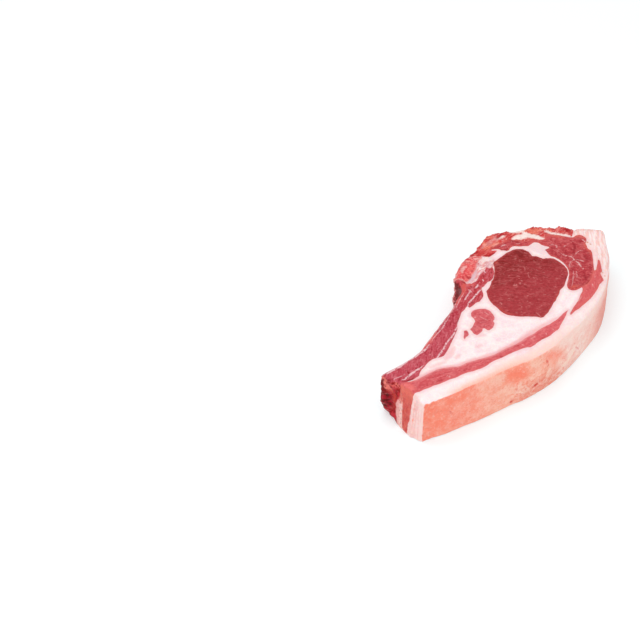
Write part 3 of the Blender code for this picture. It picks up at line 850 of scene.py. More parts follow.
surfaceLook = {
    "onSkin": 0.05 * mm,     # a face this near the whole skin lies on it
    "side": (0.3, 0.75),     # turns of the normal between a cut face and a side
    "endFacing": (0.25, 0.6), "endFrom": (66, 69),
    "endPlane": -77 * mm,    # strokes on the sawn end lie in this plane
    "crest": (1.5 * mm, 0.5),  # this near a cut face, and no steeper, a place reads its strokes
    "browCrest": (2.6 * mm, 0.95),
    "rimWidth": 0.9,         # the relief begins within this of a seam, in millimetres
    "fibre": 0.07 * mm,      # how far the bundles of lean stand out
    "fibreSize": 1.6 * mm, "fibreSink": 0.6,
    "puff": 0.16 * mm,       # how far fat swells beside a seam
    "puffWidth": 1.8,
    "lobe": 0.14 * mm,
    "lobeSize": 3.2 * mm,
    "string": 0.5 * mm,      # how far the strings of the trimmings stand out
    "stringFineness": 1.6,
    "wrinkle": 0.3 * mm,     # height of the rind's wrinkles and depth of its red spots
    "raised": (-0.3, 0.6), "dented": (-0.4, 0.5),
    "rindDown": (0.38, 0.62), "rindOut": (0.4, 0.7),
    "sharp": 50,             # an edge that turns by more degrees than this stays sharp
}
edgeLook = {  # which places make the rind, and the brow above the rib side
    "rindTurn": 0.5, "rindFrom": -75 * mm, "rindDown": 0.35, "rindOut": 0.55,
    "browTurn": 0.8, "browDepth": 2 * mm, "browTo": -12 * mm,
}


def edgePlaces(nodeName, skinVertices):  # the places that the edge measure starts from
    look = edgeLook
    if nodeName == "fat":
        return [v.co for v in skinVertices if abs(v.normal.z) < look["rindTurn"]
                and v.co.x > look["rindFrom"]
                and (v.normal.y < -look["rindDown"] or v.normal.x > look["rindOut"])]
    if nodeName == "rib_muscle":
        return [v.co for v in skinVertices if v.normal.z < look["browTurn"]
                and v.normal.y > abs(v.normal.x)
                and v.co.z > cadHigh.z - look["browDepth"] and v.co.x < look["browTo"]]
    return []


def liftOf(nodeName, p, rim, side, pale, deep):  # how far the fine relief raises a place
    look = surfaceLook
    if nodeName == "fat":
        swelling = look["puff"] * ease(rim, 0, look["puffWidth"])
        lobes = look["lobe"] * lumps(p, look["lobeSize"], 2) * (1 - side)
        raised = (1 - ease(pale, *look["raised"])) * (p.x < 0)
        dented = 1 - ease(deep, *look["dented"])
        return swelling + lobes + look["wrinkle"] * side * (raised - dented)
    if nodeName == "back_trim":
        return look["string"] * shreds(p * look["stringFineness"])
    return look["fibre"] * (lumps(p, look["fibreSize"], 2) - look["fibreSink"])


def finishSurface(nodeName, piece, skinTree):
    look, far, top = surfaceLook, lineLook["far"], cadHigh.z
    mesh = piece.data
    onSkin, onWall = set(), set()
    for face in mesh.polygons:
        kind = onSkin if skinTree.find_nearest(face.center)[3] < look["onSkin"] else onWall
        kind.update(face.vertices)
    seam = onSkin & onWall
    seamTree = treeOf([mesh.vertices[index].co for index in seam])
    edges = edgePlaces(nodeName, [vert for vert in mesh.vertices if vert.index in onSkin])
    edgeTree = treeOf(edges) if edges else None
    trees = {name: lineTree(lines[nodeName]) for name, lines in lineKinds.items() if nodeName in lines}
    count = len(mesh.vertices)
    measures = {name: [far] * count for name in ("rim", "edge", *lineKinds)}
    measures.update({name: [0.0] * count for name in ("side", "end", "rind")})
    normals = [vert.normal.copy() for vert in mesh.vertices]
    footDepth, footTurn = look["crest"]
    crestDepth, crestTurn = look["browCrest" if nodeName == "rib_muscle" else "crest"]
    for vert, normal in zip(mesh.vertices, normals):
        index = vert.index
        if index not in onSkin:
            continue
        p = vert.co.copy()
        if index in seam:
            normal = skinTree.find_nearest(p)[1]
        rim = 0.0 if index in seam else seamTree.find(p)[2] / mm
        side = ease(1 - abs(normal.z), *look["side"])
        end = side * ease(-normal.x, *look["endFacing"]) * rise(-p.x, look["endFrom"])
        measures["rim"][index] = min(rim, far)
        measures["side"][index] = side
        measures["end"][index] = end
        if nodeName == "fat":
            outer = max(ease(-normal.y, *look["rindDown"]), ease(normal.x, *look["rindOut"]))
            measures["rind"][index] = side * outer
        if edgeTree:
            measures["edge"][index] = min(edgeTree.find(p)[2] / mm, far)
        wobbled = p + noise.noise_vector(p / lineLook["wobbleSize"]) * lineLook["wobble"]
        if nodeName == "fat" and side > 0.5:
            wobbled -= flat(normal).normalized() * spread(p, True)
        if p.z > top - crestDepth and side < crestTurn:
            wobbled.z = top
        elif p.z < footDepth and side < footTurn:
            wobbled.z = 0
        if end > 0.5:
            wobbled.x = look["endPlane"]
        for name, (tree, halves) in trees.items():
            measures[name][index] = lineMeasure(wobbled, tree, halves)
        lift = liftOf(nodeName, p, rim, side, measures["pale"][index], measures["deep"][index])
        moved = p + normal * lift * ease(rim, 0, look["rimWidth"])
        moved.z = clamp(moved.z, 0, top + wholeLook["lift"])
        if nodeName != "rib_bone":
            vert.co = moved
    for name, values in measures.items():
        store(piece, name, values)


for nodeName, piece in pieces.items():
    finishSurface(nodeName, piece, skinTree)
print("surfaces measured")


# shader helpers

class Wire:  # a shader socket that takes part in plain sums
    def __init__(self, tree, socket=None):
        self.tree = tree
        self.socket = socket

    def node(self, kind, settings=None, sockets=None, output=0):
        made = self.tree.nodes.new("ShaderNode" + kind)
        for key, value in (settings or {}).items():
            setattr(made, key, value)
        for key, value in (sockets or {}).items():
            if isinstance(value, Wire):
                self.tree.links.new(value.socket, made.inputs[key])
            else:
                made.inputs[key].default_value = value
        return Wire(self.tree, made.outputs[output])

    def sum(self, operation, left, right):
        return self.node("Math", {"operation": operation}, {0: left, 1: right})

    def __add__(self, other):
        return self.sum("ADD", self, other)

    def __radd__(self, other):
        return self.sum("ADD", other, self)

    def __sub__(self, other):
        return self.sum("SUBTRACT", self, other)

    def __rsub__(self, other):
        return self.sum("SUBTRACT", other, self)

    def __mul__(self, other):
        return self.sum("MULTIPLY", self, other)

    def __rmul__(self, other):
        return self.sum("MULTIPLY", other, self)


def wherein(wire):  # the place on the piece, in millimetres
    place = wire.node("TexCoord", output="Object")
    return place.node("VectorMath", {"operation": "SCALE"}, {0: place, "Scale": 1 / mm})


def part(wire, axis):
    return wire.node("SeparateXYZ", sockets={0: wire}, output=axis)


def along(wire, direction):  # how far a place lies in a direction
    return wire.node("VectorMath", {"operation": "DOT_PRODUCT"}, {0: wire, 1: direction}, "Value")


def turned(place, angle, size):  # coordinates that run with the fibres
    sockets = {"Vector": place, "Rotation": (0, 0, math.radians(angle)), "Scale": size}
    return place.node("Mapping", {"vector_type": "TEXTURE"}, sockets)


def cloud(place, size, detail=2.0, roughness=0.5):
    sockets = {"Vector": place, "Scale": 1 / size, "Detail": detail, "Roughness": roughness}
    return place.node("TexNoise", sockets=sockets)


def bent(place, size, amount):  # the same place, pushed about by a slow noise
    push = place.node("TexNoise", sockets={"Vector": place, "Scale": 1 / size, "Detail": 1.0}, output="Color")
    centred = push.node("VectorMath", {"operation": "SUBTRACT"}, {0: push, 1: (0.5, 0.5, 0.5)})
    scaled = centred.node("VectorMath", {"operation": "SCALE"}, {0: centred, "Scale": amount})
    return scaled.node("VectorMath", {"operation": "ADD"}, {0: place, 1: scaled})


def cells(place, size, feature="F1", output="Distance"):
    return place.node("TexVoronoi", {"feature": feature}, {"Vector": place, "Scale": 1 / size}, output)


def tint(place, size):  # one random number for each cell
    colour = cells(place, size, output="Color")
    return colour.node("SeparateColor", sockets={0: colour})


def step(value, low, paleAndHighlight):
    sockets = {0: value, 1: low, 2: paleAndHighlight, 3: 0.0, 4: 1.0}
    return value.node("MapRange", {"interpolation_type": "SMOOTHSTEP"}, sockets)


def below(value, low, paleAndHighlight):
    return 1 - step(value, low, paleAndHighlight)


def blend(factor, under, over):
    return factor.node("Mix", {"data_type": "RGBA"}, {0: factor, 6: under, 7: over}, 2)


def layered(colour, look, layers):  # rows of a colour's name, how strongly it covers, and where
    for name, amount, mask in layers:
        colour = blend(mask * amount, colour, look[name])
    return colour


def stored(wire, name):
    return wire.node("Attribute", {"attribute_name": name}, output="Fac")


lightLevel = {"cut": 1.03, "side": 0.95, "gloss": 0.028}  # what the lights give each kind of face
bumpDistance = 1 * mm  # the heights in the paints are in millimetres


def shade(red, green, blue, face="cut"):  # the paint that comes out as this colour in that light
    linear = [((value / 255 + 0.055) / 1.055) ** 2.4 for value in (red, green, blue)]
    level, gloss = lightLevel[face], lightLevel["gloss"]
    return tuple(clamp((value - gloss) / level, 0.002, 0.97) for value in linear) + (1.0,)


def startPaint(name):
    material = bpy.data.materials.new(name)
    material.use_nodes = True
    return material, wherein(Wire(material.node_tree))


def endPaint(material, colour, roughness, height, constants):
    shader = material.node_tree.nodes["Principled BSDF"]
    sockets = {"Height": height, "Strength": 1.0, "Distance": bumpDistance}
    bump = height.node("Bump", sockets=sockets, output="Normal")
    for socket, wire in (("Base Color", colour), ("Roughness", roughness), ("Normal", bump)):
        material.node_tree.links.new(wire.socket, shader.inputs[socket])
    for socket, value in constants.items():
        shader.inputs[socket].default_value = value
    return material


moist = {"Specular IOR Level": 0.30, "IOR": 1.4}
dull = {"Specular IOR Level": 0.18, "IOR": 1.4}
milky = {"Subsurface Weight": 0.15, "Subsurface Scale": 1.5 * mm}


def within(wire, name, low, paleAndHighlight):  # 1 inside a stored measure, 0 beyond it
    return below(stored(wire, name) + cloud(wire, 0.9, 2, 0.6) - 0.5, low, paleAndHighlight)


# lean meat: a grain of fibres, bundles, a web between them, flecks of fat

eyeLook = {
    "lean": shade(167, 62, 67), "deep": shade(139, 40, 48), "bright": shade(189, 82, 86),
    "dark": shade(134, 38, 46), "web": shade(208, 116, 116), "fleck": shade(230, 162, 156),
    "rim": shade(192, 84, 82), "pale": shade(212, 132, 130), "warm": shade(198, 84, 74),
    "angle": -55, "bundle": (5.6, 0.9, 1.5), "grain": 1.3, "contrast": 0.74, "webbing": 0.38,
    "flecks": 0.45, "fade": (-0.5, -0.866, 0.0), "fadeFrom": -32.0, "fadeTo": 0.0,
}
capLook = {
    "lean": shade(190, 74, 79), "deep": shade(175, 60, 68), "bright": shade(213, 100, 102),
    "dark": shade(154, 47, 56), "web": shade(222, 126, 126), "fleck": shade(240, 180, 176),
    "rim": shade(216, 104, 98), "pale": shade(242, 196, 195), "warm": shade(226, 110, 96),
    "upper": shade(214, 94, 95),
    "angle": -70, "bundle": (3.0, 0.9, 1.6), "grain": 1.4, "contrast": 0.95, "webbing": 0.55,
    "flecks": 0.55, "fade": (0.8192, 0.5736, 0.0), "fadeFrom": 34.0, "fadeTo": 62.0,
}
sideLook = {
    "lean": shade(215, 97, 100), "deep": shade(201, 82, 87), "bright": shade(230, 118, 119),
    "dark": shade(186, 70, 76), "web": shade(236, 142, 140), "fleck": shade(246, 186, 184),
    "rim": shade(222, 114, 108), "pale": shade(246, 200, 198), "warm": shade(228, 112, 98),
    "angle": 35, "bundle": (3.4, 0.9, 1.4), "grain": 1.3, "contrast": 0.6, "webbing": 0.4,
    "flecks": 0.45, "fade": (1.0, 0.0, 0.0), "fadeFrom": -80.0, "fadeTo": 60.0,
}
streakLook = {
    "lean": shade(219, 102, 108), "deep": shade(206, 86, 92), "bright": shade(233, 124, 127),
    "dark": shade(186, 68, 75), "web": shade(238, 146, 146), "fleck": shade(248, 194, 192),
    "rim": shade(226, 118, 118), "pale": shade(236, 156, 156), "warm": shade(240, 114, 106),
    "haze": shade(240, 168, 170),
    "angle": -28, "bundle": (5.5, 0.8, 1.4), "grain": 1.3, "contrast": 0.85, "webbing": 0.38,
    "flecks": 0.50, "fade": (1.0, 0.0, 0.0), "fadeFrom": -80.0, "fadeTo": 60.0,
}
innerLook = {
    "lean": shade(212, 95, 101), "deep": shade(196, 78, 85), "bright": shade(232, 126, 130),
    "dark": shade(182, 68, 78), "web": shade(236, 144, 148), "fleck": shade(248, 192, 192),
    "rim": shade(226, 122, 124), "pale": shade(246, 198, 198), "warm": shade(230, 112, 104),
    "angle": -75, "bundle": (3.0, 0.8, 1.4), "grain": 1.2, "contrast": 1.0, "webbing": 0.5,
    "flecks": 0.40, "fade": (1.0, 0.0, 0.0), "fadeFrom": -80.0, "fadeTo": 60.0,
}
ribLook = {
    "lean": shade(192, 80, 92), "deep": shade(176, 62, 73), "bright": shade(210, 104, 114),
    "dark": shade(150, 42, 54), "ruddy": shade(202, 78, 80), "web": shade(220, 130, 138),
    "fleck": shade(244, 196, 200),
    "rim": shade(206, 100, 104), "pale": shade(246, 208, 212), "warm": shade(226, 104, 94),
    "angle": 22, "bundle": (5.0, 0.8, 1.4), "grain": 1.3, "contrast": 1.0, "webbing": 0.55,
    "flecks": 0.55, "fade": (1.0, 0.0, 0.0), "fadeFrom": 10.0, "fadeTo": -70.0,
    "film": shade(196, 120, 114, "side"), "filmRed": shade(172, 70, 66, "side"),
    # painted shade: the dark brown laid on the rib side near the chine
    "shadow": shade(116, 36, 28, "side"),
    "torn": shade(204, 64, 72, "side"), "tornDark": shade(146, 30, 46, "side"),
    # the deepest torn colour is dark torn meat and painted shade at once
    "tornRed": shade(204, 80, 74, "side"), "tornDeepAndShade": shade(122, 20, 40, "side"),
    "tornPale": shade(250, 138, 128, "side"), "strip": shade(243, 182, 176, "side"),
    "speck": shade(150, 78, 62, "side"), "line": shade(240, 184, 184), "finish": dull,
}
flankEnd = {
    "red": shade(217, 102, 92, "side"), "deep": shade(204, 86, 82, "side"),
    "pale": shade(230, 124, 112, "side"), "top": shade(232, 120, 106, "side"),
}


def sawnRib(place, look, fine, pale):  # the torn meat at the rib's sawn end
    y, z = part(place, "Y"), part(place, "Z")
    lumpy = cloud(bent(place, 3, 2), 2.6, 4, 0.65)
    warm = stored(place, "warm") + lumpy * 2.4 - 1.2
    salmon = blend(step(z, 17.0, 21.0), look["tornRed"], look["tornPale"])
    strip = blend(step(z + lumpy * 6, 19.0, 24.0), look["strip"], look["tornPale"])
    torn = blend(step(lumpy, 0.40, 0.60), look["tornDark"], look["torn"])
    torn = layered(torn, look, [
        # darker towards the rib side: dark torn meat, and painted shade where a neighbouring chop shaded that
        # end
        ("tornDeepAndShade", 0.85, step(y + lumpy * 4, 21.0, 25.5)),
        ("tornPale", 0.7, step(z + lumpy * 5, 25.5, 29.5) * step(lumpy, 0.46, 0.60)),
    ])
    torn = blend(below(warm, -0.8, 0.7) * 0.9, torn, salmon)
    torn = blend(below(y + fine * 2.0, 13.5, 16.5) * 0.85, torn, look["tornRed"])
    torn = blend(below(pale + lumpy * 1.6 - 0.8, -0.6, 0.5) * 0.92, torn, strip)
    return blend(within(place, "deep", -0.3, 0.5) * 0.9, torn, look["speck"])


def sawnFlank(place, look, drift, fine):
    stripes = cloud(turned(drift, 0, (1.2, 0.9, 6.0)), 1.0, 3, 0.6)
    sawn = blend(step(stripes, 0.38, 0.52), look["deep"], look["red"])
    return layered(sawn, look, [
        ("pale", 0.6, step(stripes, 0.56, 0.70)),
        ("top", 0.8, step(part(place, "Z") + fine * 3, 21.0, 27.5)),
    ])


def paintLean(name, look, end=None):
    material, place = startPaint(name)
    x, z = part(place, "X"), part(place, "Z")
    drift = bent(place, 6, 2.2)
    broad = cloud(place, 9, 3)
    fine = cloud(place, 0.8, 2, 0.6)
    fade = step(along(place, look["fade"]), look["fadeFrom"], look["fadeTo"])
    warmth = within(place, "warm", -0.9, 1.1)
    fibres = turned(drift, look["angle"], look["bundle"])
    mixed = cloud(place, look["grain"], 4, 0.72) * 0.6 + cloud(fibres, 1.0, 3, 0.65) * 0.4
    strength = look["contrast"] * (1 - warmth * 0.5)
    web = below(cells(fibres, 1.0, "DISTANCE_TO_EDGE"), 0.02, 0.16)
    patchy = step(cloud(place, 3.5, 2), 0.44, 0.64)
    flecks = cloud(turned(drift, look["angle"], (2.2, 0.7, 1.0)), 1.0, 2, 0.6)
    pale = stored(place, "pale") + fine * 0.5 - 0.25
    paleMask = below(pale, -0.30, 0.26) * step(cloud(place, 1.1, 2), 0.34, 0.48)
    side, cut = stored(place, "side"), stored(place, "end")
    layers = []
    if "upper" in look:
        upper = step(along(place, (0.5, 0.866, 0)), 30, 38) * step(x, 45, 52)
        layers.append(("upper", 0.7, upper))
    if "ruddy" in look:
        layers.append(("ruddy", 0.6, step(x, -24, 4)))
    layers += [
        ("warm", 0.8, warmth),
        ("bright", 0.35, tint(fibres, 1.0)),
        ("bright", strength, step(mixed, 0.50, 0.63)),
        ("dark", strength, below(mixed, 0.35, 0.49)),
        ("web", look["webbing"], web * patchy),
        ("fleck", look["flecks"], step(flecks, 0.64, 0.74)),
        ("rim", 0.5, within(place, "rim", 0.3, 1.3)),
    ]
    if "haze" in look:
        layers.append(("haze", 0.5, within(place, "haze", -0.2, 1.5) * below(x, -10, 4)))
    layers += [
        ("dark", 0.75, within(place, "deep", -0.5, 0.6)),
        ("pale", 0.85, paleMask),
    ]
    colour = blend(step(broad * 0.5 + fade * 0.5, 0.28, 0.68), look["deep"], look["lean"])
    colour = layered(colour, look, layers)
    if "film" in look:
        edge = stored(place, "edge") + fine * 0.7 - 0.35
        membrane = below(edge, 0.3, 1.0) * step(cloud(place, 3.0, 2), 0.36, 0.50)
        streaks = cloud(turned(drift, 0, (9.0, 2.5, 1.6)), 1.0, 3)
        film = blend(step(streaks, 0.42, 0.60), look["filmRed"], look["film"])
        colour = blend(membrane * 0.7, colour, look["line"])
        colour = blend(side * below(z + streaks * 6, 19.0, 24.0) * 0.85, colour, film)
        # painted shade: the rib side near the chine is darkened as if a neighbouring chop shaded it
        colour = blend(side * step(x + fine * 6, -20, -4) * 0.85, colour, look["shadow"])
        colour = blend(cut, colour, sawnRib(place, look, fine, pale))
    if end:
        colour = blend(cut, colour, sawnFlank(place, end, drift, fine))
    roughness = 0.36 + fine * 0.16 + step(broad, 0.4, 0.6) * 0.06
    height = mixed * 0.34 + fine * 0.12 - web * 0.05 + paleMask * 0.06
    return endPaint(material, colour, roughness, height, look.get("finish", moist))


# fat: cream on the cut, salmon to pale pink on its rind

fatLook = {
    "cream": shade(252, 237, 236), "blush": shade(247, 215, 220), "milk": shade(254, 246, 244),
    "stain": shade(242, 180, 182), "seamStain": shade(246, 204, 205), "edge": shade(252, 215, 205),
    "brim": shade(249, 182, 160),
    # the wedge colour is pink fat greyed with painted shade
    "haze": shade(241, 166, 168), "wedgeShade": shade(243, 216, 218), "flush": shade(253, 233, 231),
    "streak": shade(243, 188, 180), "spot": shade(214, 140, 96),
    "tip": shade(246, 138, 116, "side"), "tipPale": shade(249, 160, 140, "side"),
    "middle": shade(247, 172, 150, "side"), "middlePale": shade(250, 192, 172, "side"),
    "hot": shade(253, 130, 104, "side"), "dull": shade(231, 141, 123, "side"),
    "right": shade(246, 197, 185, "side"), "rightPale": shade(251, 216, 206, "side"),
    "far": shade(231, 147, 135, "side"), "redSpot": shade(214, 70, 64, "side"),
    "wrinkle": shade(253, 216, 200, "side"), "pimple": shade(234, 120, 102, "side"),
    "bonePale": shade(246, 194, 186, "side"), "boneRed": shade(226, 118, 108, "side"),
    "boneSpeck": shade(168, 92, 76, "side"),
    "topEdge": shade(253, 216, 206, "side"),
    "sawn": shade(244, 194, 189, "side"), "sawnPale": shade(249, 211, 206, "side"),
}


def lineOf(value, middle):  # a thin line where a slow noise passes a value
    away = value - middle
    return below(away.node("Math", {"operation": "ABSOLUTE"}, {0: away}), 0.006, 0.034)


def paintRind(place, look, soft, broad, fine):  # the skin side of the fat, and its relief
    x, z = part(place, "X"), part(place, "Z")
    winding = cloud(bent(place, 4, 4), 4.8, 2)
    crumpled = step(x, -38, -28) * below(x, 6, 16) * below(z + soft * 10, 17, 23)
    mottle = cloud(place, 1.1, 4, 0.8)
    wrinkle = below(stored(place, "pale") + fine * 0.8 - 0.4, -0.2, 0.3)
    middle = blend(step(soft, 0.36, 0.64), look["middle"], look["middlePale"])
    tip = blend(step(soft, 0.36, 0.64), look["tip"], look["tipPale"])
    right = blend(step(soft, 0.38, 0.62), look["right"], look["rightPale"])
    rind = blend(step(x + broad * 24 - 12, -62, -34), tip, middle)
    dull = below(z + broad * 10, 10.0, 19.0) * step(x, -34, -24)
    rind = blend(dull * 0.8, rind, look["dull"])
    rind = blend(step(x + broad * 22 - 11 + z * 0.5 - 7, -16, 12), rind, right)
    warm = stored(place, "warm") + fine * 2.4 + soft * 5.0 - 3.7
    dots = below(cells(place, 1.9), 0.10, 0.34) * step(tint(place, 1.9), 0.66, 0.80)
    rind = layered(rind, look, [
        ("far", 0.75 + soft * 0.4, step(x, 20, 42)),
        ("hot", 0.95, below(warm, -6.0, 4.5)),
        ("rightPale", 0.45 - step(x, 30, 50) * 0.2, step(mottle, 0.52, 0.66)),
        ("dull", 0.45, below(mottle, 0.35, 0.48)),
        ("pimple", 0.6, dots),
        ("pimple", 0.50, lineOf(winding, 0.48) * crumpled),
        ("wrinkle", 0.42, lineOf(winding, 0.56) * crumpled),
        ("redSpot", 0.9, within(place, "deep", -0.3, 0.6)),
        ("wrinkle", 0.7, wrinkle),
        ("topEdge", 0.85, step(z, 16, 27.5) * step(x, -22, 14) * (1 - step(x, 34, 56) * 0.6)),
    ])
    return rind, mottle * 0.2 + winding * crumpled * 0.5


def sawnFat(place, look, fine):  # the fat's sawn end, with a bit of bone in it
    y, z = part(place, "Y"), part(place, "Z")
    grain = cloud(turned(place, 0, (1.0, 1.0, 9.0)), 1.0, 3)
    sawn = blend(step(grain, 0.40, 0.60), look["sawn"], look["sawnPale"])
    sawn = blend(step(z, 22, 28), sawn, look["sawnPale"])
    flecks = cloud(place, 1.1, 3, 0.7)
    bony = blend(step(z + flecks * 8, 18.5, 23.0), look["bonePale"], look["boneRed"])
    bony = blend(step(flecks, 0.53, 0.61) * 0.8, bony, look["boneSpeck"])
    return blend(step(y + fine * 1.6, 9.4, 10.4), sawn, bony)


def paintFat(name, look):
    material, place = startPaint(name)
    x, y = part(place, "X"), part(place, "Y")
    broad = cloud(place, 11, 3)
    fine = cloud(place, 1.0, 3, 0.6)
    soft = cloud(bent(place, 5, 3), 5, 3, 0.55)
    lobes = cells(bent(place, 4, 2.0), 2.6, "DISTANCE_TO_EDGE")
    stripes = cloud(turned(place, 35, (7.0, 1.0, 3.0)), 1.0, 3, 0.6)
    blushing = 0.30 + step(x, -62, -40) * 0.32
    blushing = blushing + step(x, -38, -30) * below(x, -20, -12) * below(y, -4, 1) * 0.35
    haze = stored(place, "haze") + fine * 1.2 - 0.6
    edge = stored(place, "edge") + fine * 1.6 - 0.8
    rightward = step(x, -14, 20)
    leftward = step(x, -72, -58) * (1 - rightward)
    reach = edge - step(x, -52, -36) * 1.3
    colour = layered(blend(step(soft, 0.34, 0.66) * blushing, look["cream"], look["blush"]), look, [
        ("milk", 0.35, below(lobes, 0.0, 0.12)),
        ("flush", 0.35 + broad * 0.5, step(x, 44, 58)),
        ("seamStain", 0.88, below(stored(place, "rim") + fine * 1.4, 0.5, 3.2)),
        # painted shade: the fat between the eye and the cap is greyed as if shaded
        ("wedgeShade", 0.95, step(x, 43, 45) * below(x, 49, 51) * step(y, 2, 4) * below(y, 12, 14)),
        ("stain", 0.55, within(place, "deep", -0.8, 1.4)),
        ("haze", 0.75, below(haze, -0.6, 3.0) * below(x, -10, 4)),
        ("edge", 0.27 + step(y, -17, -11) * 0.18, below(edge, 0.2, 7.5) * rightward),
        ("edge", 0.95, below(reach, 0.2, 5.0) * leftward),
        ("brim", 0.75, below(edge, -0.2, 2.6) * leftward * below(x, -38, -14)),
        ("streak", 0.75, below(edge, 4.0, 12.0) * step(x, 46, 58) * step(stripes, 0.44, 0.60)),
    ])
    rind, rindRelief = paintRind(place, look, soft, broad, fine)
    colour = blend(stored(place, "side"), colour, sawnFat(place, look, fine))
    rindMask = stored(place, "rind")
    softEdge = blend(step(rindMask, 0.10, 0.85), colour, rind)
    crisp = blend(step(rindMask + fine * 0.16 - 0.08, 0.22, 0.44), colour, rind)
    colour = blend(step(x, -50, -20), crisp, softEdge)
    colour = blend(within(place, "spot", -0.3, 0.4) * 0.8, colour, look["spot"])
    roughness = 0.42 + fine * 0.14 + rindMask * 0.06
    height = fine * 0.09 + cloud(place, 0.35, 2) * 0.035 + step(lobes, 0.0, 0.2) * 0.05
    height = height + rindRelief * rindMask
    return endPaint(material, colour, roughness, height, {**moist, **milky})


# bone, marrow and gristle

marrowLook = {
    "red": shade(236, 92, 95), "orange": shade(243, 116, 112), "deep": shade(190, 62, 68),
    "spicule": shade(250, 172, 166), "wall": shade(240, 186, 182), "pale": shade(248, 196, 192),
    "grain": 1.1,
}


def paintMarrow(name, look):
    material, place = startPaint(name)
    broad = cloud(place, 4, 3)
    fine = cloud(place, 0.8, 2)
    drift = bent(place, 2.5, 1.4)
    grain = cloud(drift, 1.3, 4, 0.75)
    # paler towards the gristle: pale bone spicules, with painted highlight
    paleAndHighlight = step(part(place, "X") + part(place, "Y"), 44.0, 54.0)
    pores = cells(drift, look["grain"], "DISTANCE_TO_EDGE")
    holes = step(pores, 0.10, 0.34) * step(tint(drift, look["grain"]), 0.45, 0.9)
    colour = layered(blend(step(broad, 0.40, 0.60), look["red"], look["orange"]), look, [
        ("spicule", 0.58 + paleAndHighlight * 0.4, step(grain, 0.51, 0.63)),
        ("pale", 0.40, paleAndHighlight * step(broad, 0.44, 0.56)),
        ("deep", 0.9, below(grain, 0.34, 0.48)),
        ("deep", 0.6, holes),
        ("wall", 0.6, within(place, "rim", 0.0, 1.2)),
        ("pale", 0.7, within(place, "pale", -0.6, 0.8)),
        ("deep", 0.85, within(place, "deep", -0.5, 0.6)),
        ("wall", 0.5, stored(place, "side") * step(broad, 0.50, 0.62)),
    ])
    roughness = 0.38 + fine * 0.2
    height = grain * 0.5 + fine * 0.12 - holes * 0.22
    return endPaint(material, colour, roughness, height, moist)


gristleLook = {
    "white": shade(246, 212, 210), "pearl": shade(252, 232, 229), "blue": shade(224, 190, 198),
    "pink": shade(234, 160, 160), "red": shade(208, 96, 100),
}


def paintGristle(name, look):
    material, place = startPaint(name)
    broad = cloud(place, 4, 3)
    fine = cloud(place, 0.9, 2)
    strands = cloud(turned(bent(place, 5, 2), -10, (3.5, 0.9, 2.0)), 1.0, 3, 0.6)
    flecks = cloud(place, 1.3, 3, 0.7)
    outward = along(place, (0.5, 0.87, 0))
    upper = step(outward, 32.0, 34.5) * step(cloud(place, 2.2, 2), 0.36, 0.50)
    base = blend(step(outward + broad * 6, 34.5, 37.0), look["pink"], look["white"])
    colour = layered(base, look, [
        ("blue", 0.7, below(broad, 0.38, 0.54)),
        ("pearl", 0.9, step(strands, 0.50, 0.64)),
        ("pink", 0.7, below(strands, 0.34, 0.47)),
        ("pink", 0.35, within(place, "rim", 0.0, 1.2)),
        ("red", 0.8, within(place, "warm", -0.5, 0.8)),
        ("blue", 0.8, within(place, "deep", -0.5, 0.6)),
        ("red", 0.55, step(flecks, 0.58, 0.68)),
        ("pearl", 0.6, upper),
    ])
    roughness = 0.34 + fine * 0.12
    height = strands * 0.25 + flecks * 0.2 + fine * 0.08
    return endPaint(material, colour, roughness, height, {**moist, **milky})


boneLook = {
    "film": shade(206, 140, 134, "side"), "red": shade(188, 84, 80, "side"),
    # the sawn colour is dark bone with painted shade in it
    "bare": shade(232, 184, 174, "side"), "sawn": shade(106, 18, 36, "side"),
    "sawnRed": shade(170, 50, 60, "side"), "sawnWarm": shade(212, 88, 82, "side"),
}


def paintBone(name, look):
    material, place = startPaint(name)
    streaks = cloud(turned(bent(place, 8, 3), 0, (11.0, 3.0, 1.6)), 1.0, 4, 0.6)
    colour = blend(step(streaks, 0.38, 0.56), look["red"], look["film"])
    colour = blend(step(streaks, 0.60, 0.72) * 0.8, colour, look["bare"])
    lumpy = cloud(bent(place, 3, 2), 2.6, 4, 0.65)
    # darkest towards the rib side: dark sawn bone, and painted shade where a neighbouring chop shaded the end
    sawn = blend(step(lumpy, 0.42, 0.58), look["sawn"], look["sawnRed"])
    inward = below(part(place, "Y") + lumpy * 5, 20.0, 23.0)
    sawn = blend(inward * 0.8, sawn, look["sawnWarm"])
    colour = blend(stored(place, "end"), colour, sawn)
    fine = cloud(place, 0.9, 2)
    roughness = 0.38 + fine * 0.16
    height = streaks * 0.3 + fine * 0.1
    return endPaint(material, colour, roughness, height, dull)


# the ragged trimmings along the back: strings of lean, gristle and fat

trimLook = {
    "red": shade(220, 84, 82), "orange": shade(255, 146, 122), "pink": shade(238, 136, 130),
    "cream": shade(255, 234, 228), "deep": shade(180, 48, 54),
}


